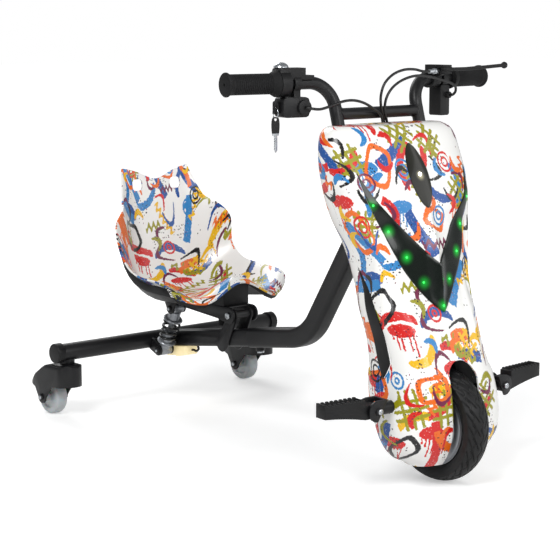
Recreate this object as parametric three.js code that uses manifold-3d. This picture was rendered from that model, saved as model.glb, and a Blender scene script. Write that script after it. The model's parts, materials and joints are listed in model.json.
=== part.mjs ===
// Tricycle drifter scooter: driven front wheel in a moulded fairing, a seat on a sprung arm and two
// swivelling casters at the rear.
// Millimetres, +Z up. The rider faces -Y and the rider's right hand is on -X. Pieces are laid out from the
// point on the ground below the front axle, and the whole scooter stands with its middle at the origin.
import * as THREE from 'three';
import { mergeVertices } from 'three/addons/utils/BufferGeometryUtils.js';
import Module from 'manifold-3d';

const wasm = await Module();
wasm.setup();

const degree = Math.PI / 180;

// Clearances
const seatGap = 0.3;
const runGap = 0.4;
const cutOverrun = 5;

// Front wheel
const tyreRadius = 100;
const tyreWidth = 50;
const tyreShoulder = 9;
const hubRadius = 70;
const hubRimWidth = 40;
const hubCoverRadius = 52;
const hubWidth = 58;
const hubBossRadius = 18;
const rimLip = 2;
const axleRadius = 6;

// Steering axis
const rake = 16 * degree;
const forkOffset = 12;
const headTubeCentre = 434;
const headTubeLength = 112;
const headTubeRadius = 21;
const headTubeBore = 17;
const headsetFlange = 4.5;
const steererRadius = 14.3;
const steererWall = 2.2;

// Fork
const legGapHalf = 46;
const legThickness = 10;
const legDepth = 32;
const dropoutRadius = 17;
const crownHeight = 14;
const axleNutRadius = 10;
const axleNutHeight = 8;
const bridgeHeight = 14;
const bridgeDepth = 30;
const bossWall = 4;

// Main frame
const wheelbase = 784;
const frameTubeWidth = 38;
const frameTubeCorner = 9;
const frameTubeWall = 2;
const diagonalRise = 57.5 * degree;
const diagonalMeet = 438;
const diagonalStopShort = 8;
const frameBendRadius = 95;
const rearTubeRise = 8.5 * degree;
const rearTubeDrop = 2;
const rearTubeLength = 372;
const sleeveBack = 283;
const lockBoltInset = 16;
const lockBossRadius = 9;
const lockBossHeight = 7;
const lockBoltRadius = 4;

// Rear axle bar and casters
const barRadius = 17.25;
const barWall = 2.5;
const barHeight = 134;
const casterTrack = 494;
const barOverhang = 33;
const capLength = 17;
const capRadius = 19.8;
const capWall = 3.5;
const casterSetback = 3;
const casterNeckRadius = 14.5;
const casterStemRadius = 6;
const casterWheelRadius = 36;
const casterWheelWidth = 25;
const casterTrail = 55;
const hoodTop = 110;
const hoodWidth = 54;
const hoodWall = 3.5;
const hoodFront = 30;
const hornReach = 98;
const hornHeight = 59;
const hoodFrontEdge = 66;
const casterLobeRadius = 13;
const casterBoltRadius = 4;

// Seat, its arm and its pivot
const pivotAhead = 239;
const pivotAboveTube = 46.3;
const pivotBoltRadius = 4;
const bracketWall = 4;
const bracketEyeRadius = 12;
const bracketLobeRadius = 16.5;
const bracketLobeBack = 35;
const armWidth = 62;
const armWall = 4;
const armRadius = 16;
const armLength = 143;
const armTailHeight = 18.5;
const bumpStopBack = 55;
const bumpStopRadius = 10;
const bumpStopTravel = 6 * degree;
const seatWidth = 300;
const seatLength = 300;
const seatHeight = 262;
const seatWall = 3.5;
const panWall = 3;

// Shock absorber
const shockSide = 38;
const shockLowerAhead = 36;
const shockLowerDrop = 17;
const shockUpperBack = 160;
const shockUpperDrop = 5;
const shockEyeRadius = 11;
const shockEyeWidth = 24;
const shockBoltRadius = 4;
const shockBushGive = 0.75;
const shockBodyRadius = 12;
const shockRodRadius = 6;
const collarRadius = 20;
const collarThickness = 5;
const lowerCollarRise = 21;
const upperCollarDrop = 27;
const springWire = 5.5;
const springCoils = 3.5;
const clevisWall = 4;
const clevisHalf = 17;

// Handlebar
const barTubeRadius = 11.1;
const uprightHalfSpan = 97;
const gripAxisHeight = 679;
const gripSweep = 8 * degree;
const handlebarWidth = 616;
const handlebarBend = 46;
const crossbarDrop = 54;
const crossbarRadius = 10.3;
const gripRadius = 17.5;
const gripFlangeRadius = 20.5;
const gripFlangeThickness = 4;
const controlsRun = 109.6141;

// Fairing
const fairingBottom = 40;
const fairingHeight = 566;
const fairingHalfWidth = 151;
const fairingFrontDepth = 92;
const fairingRearDepth = 72;
const fairingWall = 3;
const wheelSlotHalf = 33;
const wheelSlotTop = 216;
const lensBottom = 295;
const lensHeight = 238;
const lensHalfWidth = 127;
const lensProud = 1.4;
const headlampBottom = 469;
const headlampHeight = 107;
const headlampHalfWidth = 22.5;
const headlampProud = 1;
const inlayBottom = 88;
const inlayHeight = 193;
const inlayWidth = 28;
const inlayProud = 0.6;
const rearDoorHalfWidth = 88;
const rearDoorShoulder = 430;
const rearDoorTop = 548;
const leadHoleRadius = 10;
const leadHoleAhead = 9;
const leadHoleSide = 4;
const topHoleGap = 0.8;

// Foot pegs
const pegArmDepth = -4;
const pegSweep = 4.6 * degree;
const pegHeight = 145;
const pegArmRadius = 11;
const pegPivotSide = 154;
const pegEnd = 261;
const clevisReach = 20;
const clevisRadius = 18.5;
const clevisPlate = 4.5;
const pegDepth = 25;
const pegTop = 24;
const pegBottom = 6;
const pegToothCount = 9;
const pegToothHeight = 3;
const boltHeadRadius = 7;
const boltHeadHeight = 4;
const flangeWall = 4;

const fineSides = 40;
const midSides = 18;
const coarseSides = 12;
const barSides = 16;

// Looks of the bare parts
const framePaint = { color: 0x2d2d30, roughness: 0.45, metalness: 0.35 };
const blackPlastic = { color: 0x1f1f21, roughness: 0.6, metalness: 0 };
const blackRubber = { color: 0x17171a, roughness: 0.85, metalness: 0 };
const whiteShell = { color: 0xf2f1ee, roughness: 0.25, metalness: 0 };
const brightSteel = { color: 0xc9ccd0, roughness: 0.3, metalness: 1 };
const castAluminium = { color: 0x8e9196, roughness: 0.4, metalness: 0.9 };
const greyPaint = { color: 0x77797d, roughness: 0.4, metalness: 0.4 };
const greenLens = { color: 0x0c2a16, roughness: 0.15, metalness: 0 };
const smokedLens = { color: 0x55564e, roughness: 0.2, metalness: 0 };
const paleWheel = { color: 0xd5d7d8, roughness: 0.35, metalness: 0 };
const warmLens = { color: 0xf5e3b5, roughness: 0.3, metalness: 0 };
const batteryWrap = { color: 0x2a4d7d, roughness: 0.5, metalness: 0 };

// Solids
function solid(geometry) {
  const bare = geometry.clone();
  bare.deleteAttribute('normal');
  bare.deleteAttribute('uv');
  const welded = mergeVertices(bare, 1e-4);
  const vertProperties = new Float32Array(welded.attributes.position.array);
  const triVerts = new Uint32Array(welded.index.array);
  return new wasm.Manifold(new wasm.Mesh({ numProp: 3, vertProperties, triVerts }));
}

function joined(...solids) {
  return solids.reduce((sum, next) => sum.add(next));
}

function cut(body, ...tools) {
  return tools.reduce((rest, tool) => rest.subtract(tool), body);
}

function common(...solids) {
  return solids.reduce((rest, next) => rest.intersect(next));
}

function geometryOf(body) {
  const mesh = body.getMesh();
  const geometry = new THREE.BufferGeometry();
  geometry.setAttribute('position', new THREE.BufferAttribute(new Float32Array(mesh.vertProperties), 3));
  geometry.setIndex(new THREE.BufferAttribute(new Uint32Array(mesh.triVerts), 1));
  geometry.computeVertexNormals();
  return geometry;
}

function addPart(parent, name, body, look) {
  const part = new THREE.Mesh(geometryOf(body), new THREE.MeshStandardMaterial(look));
  part.name = name;
  parent.add(part);
  return part;
}

// Directions in which a shape is pulled. An outline pulled along X has the axes Y and Z, and one pulled
// across Y has the axes X and Z.
const unitX = new THREE.Vector3(1, 0, 0);
const unitY = new THREE.Vector3(0, 1, 0);
const unitZ = new THREE.Vector3(0, 0, 1);
const alongX = new THREE.Matrix4().makeBasis(unitY, unitZ, unitX);
const alongY = new THREE.Matrix4().makeBasis(unitZ, unitX, unitY);
const alongZ = new THREE.Matrix4();
const acrossY = new THREE.Matrix4().makeBasis(unitX, unitZ, unitY.clone().negate());

// A flat outline pulled to a width, its middle on the plane of the other two axes.
function slab(outline, width, direction, curveSegments = 10) {
  const geometry = new THREE.ExtrudeGeometry(outline, { depth: width, bevelEnabled: false, curveSegments });
  geometry.translate(0, 0, -width / 2);
  return solid(geometry.applyMatrix4(direction));
}

// A cylinder from one place along its axis to another.
function rod(radius, from, to, direction, sides = coarseSides) {
  const geometry = new THREE.CylinderGeometry(radius, radius, to - from, sides);
  geometry.rotateX(Math.PI / 2).translate(0, 0, (from + to) / 2);
  return solid(geometry.applyMatrix4(direction));
}

// A turned body. The profile's points are (radius, place along the axis).
function turned(profile, direction, sides = midSides) {
  const points = profile.map(([r, along]) => new THREE.Vector2(r, along));
  const lathe = (outline) => solid(new THREE.LatheGeometry(outline, sides).rotateX(Math.PI / 2)
    .applyMatrix4(direction));
  const body = lathe(points);
  return body.volume() < 0 ? lathe(points.toReversed()) : body;
}

function block(from, to) {
  const size = to.map((value, i) => value - from[i]);
  const geometry = new THREE.BoxGeometry(...size);
  geometry.translate(...from.map((value, i) => value + size[i] / 2));
  return solid(geometry);
}

function roundedRectangle(width, height, corner) {
  const shape = new THREE.Shape();
  const x = width / 2 - corner;
  const y = height / 2 - corner;
  shape.absarc(x, y, corner, 0, Math.PI / 2);
  shape.absarc(-x, y, corner, Math.PI / 2, Math.PI);
  shape.absarc(-x, -y, corner, Math.PI, Math.PI * 1.5);
  shape.absarc(x, -y, corner, Math.PI * 1.5, Math.PI * 2);
  return shape;
}

function disc(radius, sides) {
  const points = [];
  for (let i = 0; i < sides; i += 1) {
    const angle = (i / sides) * Math.PI * 2;
    points.push(new THREE.Vector2(Math.cos(angle) * radius, Math.sin(angle) * radius));
  }
  return new THREE.Shape(points);
}

// The outline that a belt takes round two pulleys.
function belt(centreA, radiusA, centreB, radiusB) {
  const span = Math.hypot(centreB[0] - centreA[0], centreB[1] - centreA[1]);
  const heading = Math.atan2(centreB[1] - centreA[1], centreB[0] - centreA[0]);
  const lean = Math.acos((radiusA - radiusB) / span);
  const shape = new THREE.Shape();
  shape.absarc(centreB[0], centreB[1], radiusB, heading - lean, heading + lean);
  shape.absarc(centreA[0], centreA[1], radiusA, heading + lean, heading - lean + Math.PI * 2);
  return shape;
}

// A centreline with one station wherever its section stands.
class Route extends THREE.Curve {
  constructor(stations) {
    super();
    this.stations = stations;
  }

  getPoint(t, target = new THREE.Vector3()) {
    const place = t * (this.stations.length - 1);
    const index = Math.min(Math.floor(place), this.stations.length - 2);
    return target.lerpVectors(this.stations[index], this.stations[index + 1], place - index);
  }

  getUtoTmapping(u) {
    return u;
  }
}

// The stations of a line whose corners are bent to a radius.
function bentLine(corners, radius, stepsPerBend) {
  const stations = [corners[0].clone()];
  for (let i = 1; i < corners.length - 1; i += 1) {
    const back = corners[i - 1].clone().sub(corners[i]).normalize();
    const ahead = corners[i + 1].clone().sub(corners[i]).normalize();
    const half = back.angleTo(ahead) / 2;
    const inward = back.clone().add(ahead).normalize();
    const centre = corners[i].clone().addScaledVector(inward, radius / Math.sin(half));
    const from = corners[i].clone().addScaledVector(back, radius / Math.tan(half)).sub(centre);
    const to = corners[i].clone().addScaledVector(ahead, radius / Math.tan(half)).sub(centre);
    const axis = from.clone().cross(to);
    for (let step = 0; step <= stepsPerBend; step += 1) {
      const turn = ((Math.PI - half * 2) * step) / stepsPerBend;
      stations.push(from.clone().applyAxisAngle(axis.clone().normalize(), turn).add(centre));
    }
  }
  stations.push(corners[corners.length - 1].clone());
  return stations;
}

// A section swept through stations.
function swept(section, stations) {
  const route = new Route(stations);
  const options = { steps: stations.length - 1, extrudePath: route, bevelEnabled: false, curveSegments: 1 };
  return solid(new THREE.ExtrudeGeometry(section, options));
}

// A round lead through the points of its route.
function lead(points, radius, steps) {
  const curve = new THREE.CatmullRomCurve3(points.map((point) => new THREE.Vector3(...point)));
  const options = { steps, extrudePath: curve, bevelEnabled: false };
  return solid(new THREE.ExtrudeGeometry(disc(radius, 8), options));
}

// A closed skin over rings that have the same number of points.
function lofted(rings) {
  const count = rings[0].length;
  const positions = rings.flat().flatMap((point) => [point.x, point.y, point.z]);
  const index = [];
  for (let r = 0; r < rings.length - 1; r += 1) {
    for (let i = 0; i < count; i += 1) {
      const a = r * count + i;
      const b = r * count + ((i + 1) % count);
      index.push(a, b, b + count, a, b + count, a + count);
    }
  }
  const last = (rings.length - 1) * count;
  for (let i = 1; i < count - 1; i += 1) {
    index.push(0, i + 1, i);
    index.push(last, last + i, last + i + 1);
  }
  const geometry = new THREE.BufferGeometry();
  geometry.setAttribute('position', new THREE.Float32BufferAttribute(positions, 3));
  geometry.setIndex(index);
  return solid(geometry);
}

// A plate between two grids of points, such as the two faces of a moulded shell.
function plateBetween(upper, lower) {
  const rows = upper.length;
  const columns = upper[0].length;
  const at = (side, r, c) => side * rows * columns + r * columns + c;
  const positions = [...upper.flat(), ...lower.flat()].flatMap((point) => [point.x, point.y, point.z]);
  const index = [];
  const quad = (a, b, c, d) => index.push(a, b, c, a, c, d);
  for (let r = 0; r < rows - 1; r += 1) {
    for (let c = 0; c < columns - 1; c += 1) {
      quad(at(0, r, c), at(0, r, c + 1), at(0, r + 1, c + 1), at(0, r + 1, c));
      quad(at(1, r, c), at(1, r + 1, c), at(1, r + 1, c + 1), at(1, r, c + 1));
    }
  }
  for (let c = 0; c < columns - 1; c += 1) {
    quad(at(0, 0, c), at(1, 0, c), at(1, 0, c + 1), at(0, 0, c + 1));
    quad(at(0, rows - 1, c + 1), at(1, rows - 1, c + 1), at(1, rows - 1, c), at(0, rows - 1, c));
  }
  for (let r = 0; r < rows - 1; r += 1) {
    quad(at(0, r + 1, 0), at(1, r + 1, 0), at(1, r, 0), at(0, r, 0));
    quad(at(0, r, columns - 1), at(1, r, columns - 1), at(1, r + 1, columns - 1), at(0, r + 1, columns - 1));
  }
  const geometry = new THREE.BufferGeometry();
  geometry.setAttribute('position', new THREE.Float32BufferAttribute(positions, 3));
  geometry.setIndex(index);
  return solid(geometry);
}

// Reads a smooth curve through the rows of a table, the first column being the place along it.
function tableCurve(rows, column) {
  const points = rows.map((row) => new THREE.Vector2(row[0], row[column]));
  return (place) => {
    let i = 0;
    while (i < points.length - 2 && points[i + 1].x < place) i += 1;
    const before = points[Math.max(i - 1, 0)];
    const after = points[Math.min(i + 2, points.length - 1)];
    const [from, to] = [points[i], points[i + 1]];
    const span = to.x - from.x;
    const t = THREE.MathUtils.clamp((place - from.x) / span, 0, 1);
    const slopeFrom = ((to.y - before.y) / (to.x - before.x)) * span;
    const slopeTo = ((after.y - from.y) / (after.x - from.x)) * span;
    const t2 = t * t;
    const t3 = t2 * t;
    return (2 * t3 - 3 * t2 + 1) * from.y + (t3 - 2 * t2 + t) * slopeFrom
      + (3 * t2 - 2 * t3) * to.y + (t3 - t2) * slopeTo;
  };
}

// Moves each point of a closed outline along its own outward normal, and stops short in a sharp corner.
const sharpCornerShare = 0.5;

function grown(points, distance) {
  const area = THREE.ShapeUtils.area(points);
  return points.map((point, i) => {
    const before = points[(i + points.length - 1) % points.length];
    const after = points[(i + 1) % points.length];
    const first = point.clone().sub(before).normalize();
    const second = after.clone().sub(point).normalize();
    const along = first.clone().add(second).normalize();
    const widen = 1 / Math.max(Math.abs(along.dot(first)), sharpCornerShare);
    const outward = new THREE.Vector2(along.y, -along.x).multiplyScalar(Math.sign(area) * distance * widen);
    return point.clone().add(outward);
  });
}

// The scooter and its groups
const scooter = new THREE.Group();
scooter.position.y = -(wheelbase + casterSetback + hornReach - tyreRadius) / 2;

const steering = new THREE.Group();
steering.position.set(0, forkOffset, tyreRadius);
steering.rotation.x = -rake;
scooter.add(steering);
steering.updateMatrix();

// The height and depth of the steering axis, read at a height above the ground.
function axisDepth(height) {
  return forkOffset + (height - tyreRadius) * Math.tan(rake);
}

function alongAxis(height) {
  return (height - tyreRadius) / Math.cos(rake);
}

function inSteering(body) {
  return body.transform(steering.matrix.elements);
}

function onAxis(distance, side = 0) {
  return new THREE.Vector3(side, 0, distance).applyMatrix4(steering.matrix);
}

const axleBack = -forkOffset * Math.cos(rake);
const axleUp = -forkOffset * Math.sin(rake);
const headTubeBottom = headTubeCentre - headTubeLength / 2;
const headTubeTop = headTubeCentre + headTubeLength / 2;
const crownTop = headTubeBottom - headsetFlange - seatGap;
const crownBottom = crownTop - crownHeight;
const bridgeBottom = headTubeTop + headsetFlange + headsetFlange;
const bridgeTop = bridgeBottom + bridgeHeight;

// Front wheel
function addFrontWheel() {
  const wheel = new THREE.Group();
  wheel.position.z = tyreRadius;
  scooter.add(wheel);
  const beadRadius = hubRadius + seatGap;
  const beadHalf = hubRimWidth / 2 - rimLip;
  const half = tyreWidth / 2;
  const shoulder = tyreRadius - tyreShoulder;
  const crown = new THREE.QuadraticBezierCurve(
    new THREE.Vector2(shoulder, half), new THREE.Vector2(tyreRadius + tyreShoulder, 0),
    new THREE.Vector2(shoulder, -half));
  const topPoints = crown.getPoints(6).slice(1, -1).map((point) => point.toArray());
  const wallRadius = (beadRadius + shoulder) / 2;
  const profile = [[beadRadius, -beadHalf], [beadRadius, beadHalf], [wallRadius, half], [shoulder, half],
    ...topPoints, [shoulder, -half], [wallRadius, -half], [beadRadius, -beadHalf]];
  addPart(wheel, 'front_tyre', turned(profile, alongX, fineSides + fineSides / 5), blackRubber);

  const rimHalf = hubRimWidth / 2;
  const coverHalf = hubWidth / 2;
  const bore = axleRadius + runGap;
  const lip = hubRadius - rimLip * 2;
  const hub = [[bore, -coverHalf], [hubBossRadius, -coverHalf], [hubCoverRadius, -rimHalf - rimLip],
    [lip, -rimHalf + rimLip], [hubRadius, -rimHalf], [hubRadius, rimHalf],
    [lip, rimHalf - rimLip], [hubCoverRadius, rimHalf + rimLip], [hubBossRadius, coverHalf],
    [bore, coverHalf], [bore, -coverHalf]];
  addPart(wheel, 'hub_motor', turned(hub, alongX, fineSides), castAluminium);
}

// Axle with its nuts and the spacers that hold the fork legs off the hub
function addWheelAxle() {
  const axle = new THREE.Group();
  axle.position.z = tyreRadius;
  scooter.add(axle);
  const legOuter = legGapHalf + legThickness;
  const nutEnd = legOuter + seatGap + axleNutHeight;
  const parts = [rod(axleRadius, -nutEnd - axleRadius, nutEnd + axleRadius, alongX)];
  for (const side of [-1, 1]) {
    const nutFrom = Math.min(side * (legOuter + seatGap), side * nutEnd);
    const nutTo = Math.max(side * (legOuter + seatGap), side * nutEnd);
    parts.push(rod(axleNutRadius, nutFrom, nutTo, alongX, 6));
    const spacerIn = side * (hubWidth / 2 + runGap);
    const spacerOut = side * (legGapHalf - seatGap);
    parts.push(rod(axleNutRadius, Math.min(spacerIn, spacerOut), Math.max(spacerIn, spacerOut), alongX));
  }
  addPart(axle, 'wheel_axle', joined(...parts), brightSteel);
}

// Fork: steerer tube, crown and two legs that step forward to the axle
function addFork() {
  const legOuter = legGapHalf + legThickness;
  const leg = new THREE.Shape();
  const bend = axleUp + tyreRadius;
  leg.moveTo(-legDepth / 2, crownTop);
  leg.lineTo(-legDepth / 2, bend);
  leg.absarc(axleBack, axleUp, dropoutRadius, Math.PI, Math.PI * 2);
  leg.lineTo(legDepth / 2, bend);
  leg.lineTo(legDepth / 2, crownTop);
  const bore = rod(axleRadius + seatGap, -legOuter - cutOverrun, legOuter + cutOverrun, alongX, midSides)
    .translate([0, axleBack, axleUp]);
  const legs = [-1, 1].map((side) => slab(leg, legThickness, alongX, 5)
    .translate([side * (legGapHalf + legThickness / 2), 0, 0]));
  const crown = slab(roundedRectangle(legOuter * 2, legDepth, legThickness), crownHeight, alongZ, 1)
    .translate([0, 0, (crownTop + crownBottom) / 2]);
  const steererTop = bridgeTop + seatGap;
  const steerer = rod(steererRadius, crownBottom, steererTop, alongZ, midSides);
  const hollow = rod(steererRadius - steererWall, crownBottom - cutOverrun, steererTop + cutOverrun, alongZ);
  addPart(steering, 'front_fork', cut(joined(steerer, crown, ...legs), hollow, bore), framePaint);
}

// Bearing cups pressed into the ends of the head tube
function addHeadset(name, seat, outward) {
  const bore = steererRadius + runGap;
  const cupDepth = headTubeBore;
  const profile = [[bore, -cupDepth], [headTubeBore - seatGap, -cupDepth], [headTubeBore - seatGap, seatGap],
    [headTubeRadius, seatGap], [headTubeRadius - headsetFlange / 3, headsetFlange], [bore, headsetFlange],
    [bore, -cupDepth]];
  const cup = turned(profile, alongZ);
  const placed = outward > 0 ? cup : cup.mirror([0, 0, 1]);
  addPart(steering, name, placed.translate([0, 0, seat]), brightSteel);
}

// Upper bridge: clamps both uprights of the handlebar and the steerer
function addBridge() {
  const bossRadius = barTubeRadius + bossWall;
  const centre = rod(steererRadius + bossWall, bridgeBottom, bridgeTop, alongZ, midSides);
  const section = roundedRectangle(uprightHalfSpan * 2, bridgeDepth - bossWall, bossWall);
  const plate = slab(section, bridgeHeight, alongZ, 1).translate([0, 0, (bridgeBottom + bridgeTop) / 2]);
  const bosses = [-1, 1].map((side) => rod(bossRadius, bridgeBottom, bridgeTop, alongZ, midSides)
    .translate([side * uprightHalfSpan, 0, 0]));
  const holes = [-1, 1].map((side) => rod(barTubeRadius + seatGap, bridgeBottom - cutOverrun,
    bridgeTop + cutOverrun, alongZ, midSides).translate([side * uprightHalfSpan, 0, 0]));
  const steererHole = rod(steererRadius + seatGap, bridgeBottom - cutOverrun, bridgeTop + cutOverrun,
    alongZ, midSides);
  addPart(steering, 'bar_bridge', cut(joined(plate, centre, ...bosses), ...holes, steererHole), framePaint);
}

// Handlebar: two bent uprights and the tube welded across them. From each bend's corner the controls take
// their run of the tube, and the grip covers what is left of it.
const cornerDistance = alongAxis(gripAxisHeight);
const gripReach = handlebarWidth / 2 - uprightHalfSpan - gripRadius * Math.sin(gripSweep);
const gripEnd = gripReach / Math.cos(gripSweep);

function barCorner(side) {
  return onAxis(cornerDistance, side * uprightHalfSpan);
}

function addHandlebar() {
  const tubeEnd = gripEnd - gripFlangeThickness;
  const tubes = [];
  for (const side of [-1, 1]) {
    const corner = barCorner(side);
    const outward = new THREE.Vector3(side * Math.cos(gripSweep), Math.sin(gripSweep), 0);
    const stations = bentLine([onAxis(bridgeBottom - bridgeHeight / 2, side * uprightHalfSpan), corner,
      corner.clone().addScaledVector(outward, tubeEnd)], handlebarBend, 6);
    tubes.push(swept(disc(barTubeRadius, barSides), stations));
  }
  const crossDistance = alongAxis(gripAxisHeight - crossbarDrop);
  const crossbar = rod(crossbarRadius, -uprightHalfSpan, uprightHalfSpan, alongX, barSides)
    .translate(onAxis(crossDistance).toArray());
  addPart(scooter, 'handlebar', joined(...tubes, crossbar), framePaint);
}

// One end of the handlebar: x runs outward along the grip, y to the rear, from the bend's corner.
function barEnd(side) {
  const end = new THREE.Group();
  end.position.copy(barCorner(side));
  end.rotation.z = side > 0 ? gripSweep : Math.PI - gripSweep;
  scooter.add(end);
  return end;
}

// Grip: ribbed sleeve with an end flange, a flare beside the housing and a small hole in its end
function gripBody(flareRadius) {
  const bore = barTubeRadius + seatGap;
  const hole = gripFlangeThickness / 2;
  const inner = gripEnd - gripFlangeThickness + seatGap;
  const flareEnd = controlsRun + gripFlangeThickness * 3;
  const profile = [[bore, controlsRun], [flareRadius, controlsRun], [gripRadius, flareEnd],
    [gripRadius, gripEnd - gripFlangeThickness - hole], [gripFlangeRadius, gripEnd - gripFlangeThickness],
    [gripFlangeRadius, gripEnd - hole], [gripRadius, gripEnd], [hole, gripEnd], [hole, inner], [bore, inner],
    [bore, controlsRun]];
  return turned(profile, alongX);
}

const rightEnd = barEnd(-1);
const leftEnd = barEnd(1);

// Throttle side: twist grip, its housing with the gauge, and the key lock below
const throttleRadius = 23;
const throttleDepth = 19;
const gaugeBlockTop = 26;
const gaugeBlockInner = 42;
const gaugeBlockDepth = 27;
const gaugeBlockHeight = 20;
const gaugeDomeRadius = 13;
const gaugeDomeHeight = 9;
const gaugeDomeBack = 6;
const lockStrapInner = 68;
const lockStrapWidth = 13;
const lockStrapRadius = 16.5;
const lockBodyWidth = 52;
const lockBodyDepth = 30;
const lockBodyTop = 23;
const lockBodyHeight = 34;
const lockBodyOuter = 104;
const lockBossOut = 65;
const lockBossSize = 12.6;
const lockBossStand = 7;

function addThrottleSide() {
  addPart(rightEnd, 'throttle_grip', gripBody(throttleRadius - runGap), blackRubber);
  const housingOuter = controlsRun - runGap;
  const housingInner = housingOuter - throttleDepth;
  const collar = rod(throttleRadius, housingInner, housingOuter, alongX, midSides);
  const section = roundedRectangle(housingOuter - gaugeBlockInner, gaugeBlockHeight, gripFlangeThickness);
  const gauge = slab(section, gaugeBlockDepth, acrossY, 1)
    .translate([(housingOuter + gaugeBlockInner) / 2, 0, gaugeBlockTop - gaugeBlockHeight / 2]);
  const bore = rod(barTubeRadius + seatGap, gaugeBlockInner - cutOverrun, housingOuter + cutOverrun,
    alongX, midSides);
  const strapSpace = rod(lockStrapRadius + seatGap, lockStrapInner - seatGap,
    lockStrapInner + lockStrapWidth + seatGap, alongX, midSides);
  addPart(rightEnd, 'throttle_housing', cut(joined(collar, gauge), bore, strapSpace), blackPlastic);

  const dome = [[0, 0]];
  for (let step = 0; step <= 4; step += 1) {
    const angle = (step / 4) * (Math.PI / 2);
    dome.push([gaugeDomeRadius * Math.cos(angle), gaugeDomeHeight * Math.sin(angle)]);
  }
  addPart(rightEnd, 'gauge_dome', turned(dome, alongZ)
    .translate([housingOuter - gaugeDomeRadius, -gaugeDomeBack, gaugeBlockTop + seatGap]), brightSteel);
}

// Key lock: clamp ring round the bar, body below it and a round boss that the lead leaves
function addKeyLock() {
  const ring = rod(lockStrapRadius, lockStrapInner, lockStrapInner + lockStrapWidth, alongX, midSides);
  const neck = block([lockStrapInner, -barTubeRadius, -lockBodyTop - cutOverrun],
    [lockStrapInner + lockStrapWidth, barTubeRadius, 0]);
  const body = slab(roundedRectangle(lockBodyWidth, lockBodyHeight, lockBossStand), lockBodyDepth, acrossY, 1)
    .translate([lockBodyOuter - lockBodyWidth / 2, 0, -lockBodyTop - lockBodyHeight / 2]);
  const boss = rod(lockBossSize, 0, lockBodyDepth / 2 + lockBossStand, alongY, midSides)
    .translate([lockBossOut, 0, -lockBodyTop - lockBodyHeight / 2]);
  const strapOuter = lockStrapInner + lockStrapWidth;
  const bore = rod(barTubeRadius + seatGap, lockStrapInner - cutOverrun, strapOuter + cutOverrun,
    alongX, midSides);
  const barSpace = rod(throttleRadius + seatGap, strapOuter + seatGap, lockBodyOuter + cutOverrun,
    alongX, midSides);
  addPart(rightEnd, 'key_lock', cut(joined(ring, neck, body, boss), bore, barSpace), blackPlastic);
}

// Keys: one stands in the lock, and a spare hangs from it on a wire ring
const keyBowThickness = 6;
const keyBowLength = 11;
const keyBowHeight = 23;
const ringRadius = 8.6;
const ringWire = 0.8;
const ringHole = 2.2;
const spareHeadWidth = 17;
const spareHeadHeight = 31;
const spareThickness = 2.4;
const spareHole = 3;
const bladeWidth = 6;
const bladeLength = 29;
const bladeNotch = 1.3;
const bladeNotches = 6;
const headTopShare = 0.55;
const headFootShare = 0.7;
const ringTop = -lockBodyTop - lockBodyHeight / 2;
const bowMiddle = lockBodyOuter + seatGap + keyBowLength / 2;
const ringOut = bowMiddle + ringHole / 2;
const ringHang = ringTop - ringHole / 4;
const spareHang = ringHang - ringRadius * 2;

function addKeys() {
  const bow = slab(roundedRectangle(keyBowLength, keyBowHeight, keyBowLength / 3), keyBowThickness,
    acrossY, 2).translate([bowMiddle, 0, ringTop]);
  const bowHole = rod(ringHole, -keyBowThickness, keyBowThickness, alongY).translate([ringOut, 0, ringTop]);
  addPart(rightEnd, 'ignition_key', cut(bow, bowHole), blackPlastic);

  const ring = new THREE.TorusGeometry(ringRadius, ringWire, 6, midSides);
  ring.rotateY(Math.PI / 2).translate(ringOut, 0, ringHang - ringRadius);
  addPart(rightEnd, 'key_ring', solid(ring), brightSteel);

  const hang = new THREE.Group();
  hang.position.set(ringOut, 0, spareHang - (spareHole - ringWire - seatGap));
  rightEnd.add(hang);
  const shoulder = spareHole + ringWire;
  const outline = new THREE.Shape();
  const half = spareHeadWidth / 2;
  const low = -spareHeadHeight + shoulder;
  outline.moveTo(-half * headTopShare, shoulder);
  outline.quadraticCurveTo(0, shoulder + ringWire, half * headTopShare, shoulder);
  outline.bezierCurveTo(half, 0, half, low / 2, half * headFootShare, low);
  outline.lineTo(bladeWidth / 2, low);
  const pitch = bladeLength / (bladeNotches + 1);
  for (let i = 0; i < bladeNotches; i += 1) {
    const top = low - pitch * (i + 0.5);
    outline.lineTo(bladeWidth / 2, top);
    outline.lineTo(bladeWidth / 2 - bladeNotch, top - pitch / 2);
  }
  outline.lineTo(0, low - bladeLength);
  outline.lineTo(-bladeWidth / 2, low - bladeLength + pitch);
  outline.lineTo(-bladeWidth / 2, low);
  outline.lineTo(-half * headFootShare, low);
  outline.bezierCurveTo(-half, low / 2, -half, 0, -half * headTopShare, shoulder);
  const hole = rod(spareHole, -spareThickness, spareThickness, alongY);
  addPart(hang, 'spare_key', cut(slab(outline, spareThickness, acrossY, 6), hole), blackPlastic);
}

// Brake side: grip, lever holder, lever, adjuster, switch housing and its button
const perchInner = 47;
const perchWidth = 22;
const perchRadius = 16.5;
const leverPivotAhead = 33;
const leverPivotOut = 57;
const leverRise = 17;
const leverPlate = 6;
const perchPlate = 4;
const leverTipOut = 195;
const leverTipAhead = 65;
const leverTipRise = 22;
const leverBall = 6.4;
const leverDepth = 11;
const adjusterAhead = 24;
const adjusterRise = 14;
const adjusterLength = 26;
const adjusterRadius = 5.2;
const switchOut = 84;
const switchRingWidth = 15;
const switchWidth = 27;
const switchDepth = 26;
const switchTop = 12;
const switchHeight = 55;
const buttonRadius = 6;
const buttonStand = 4;
const buttonDrop = 30;
const glandRadius = 6;
const glandLength = 8;
const leadRadius = 2.4;

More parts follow.
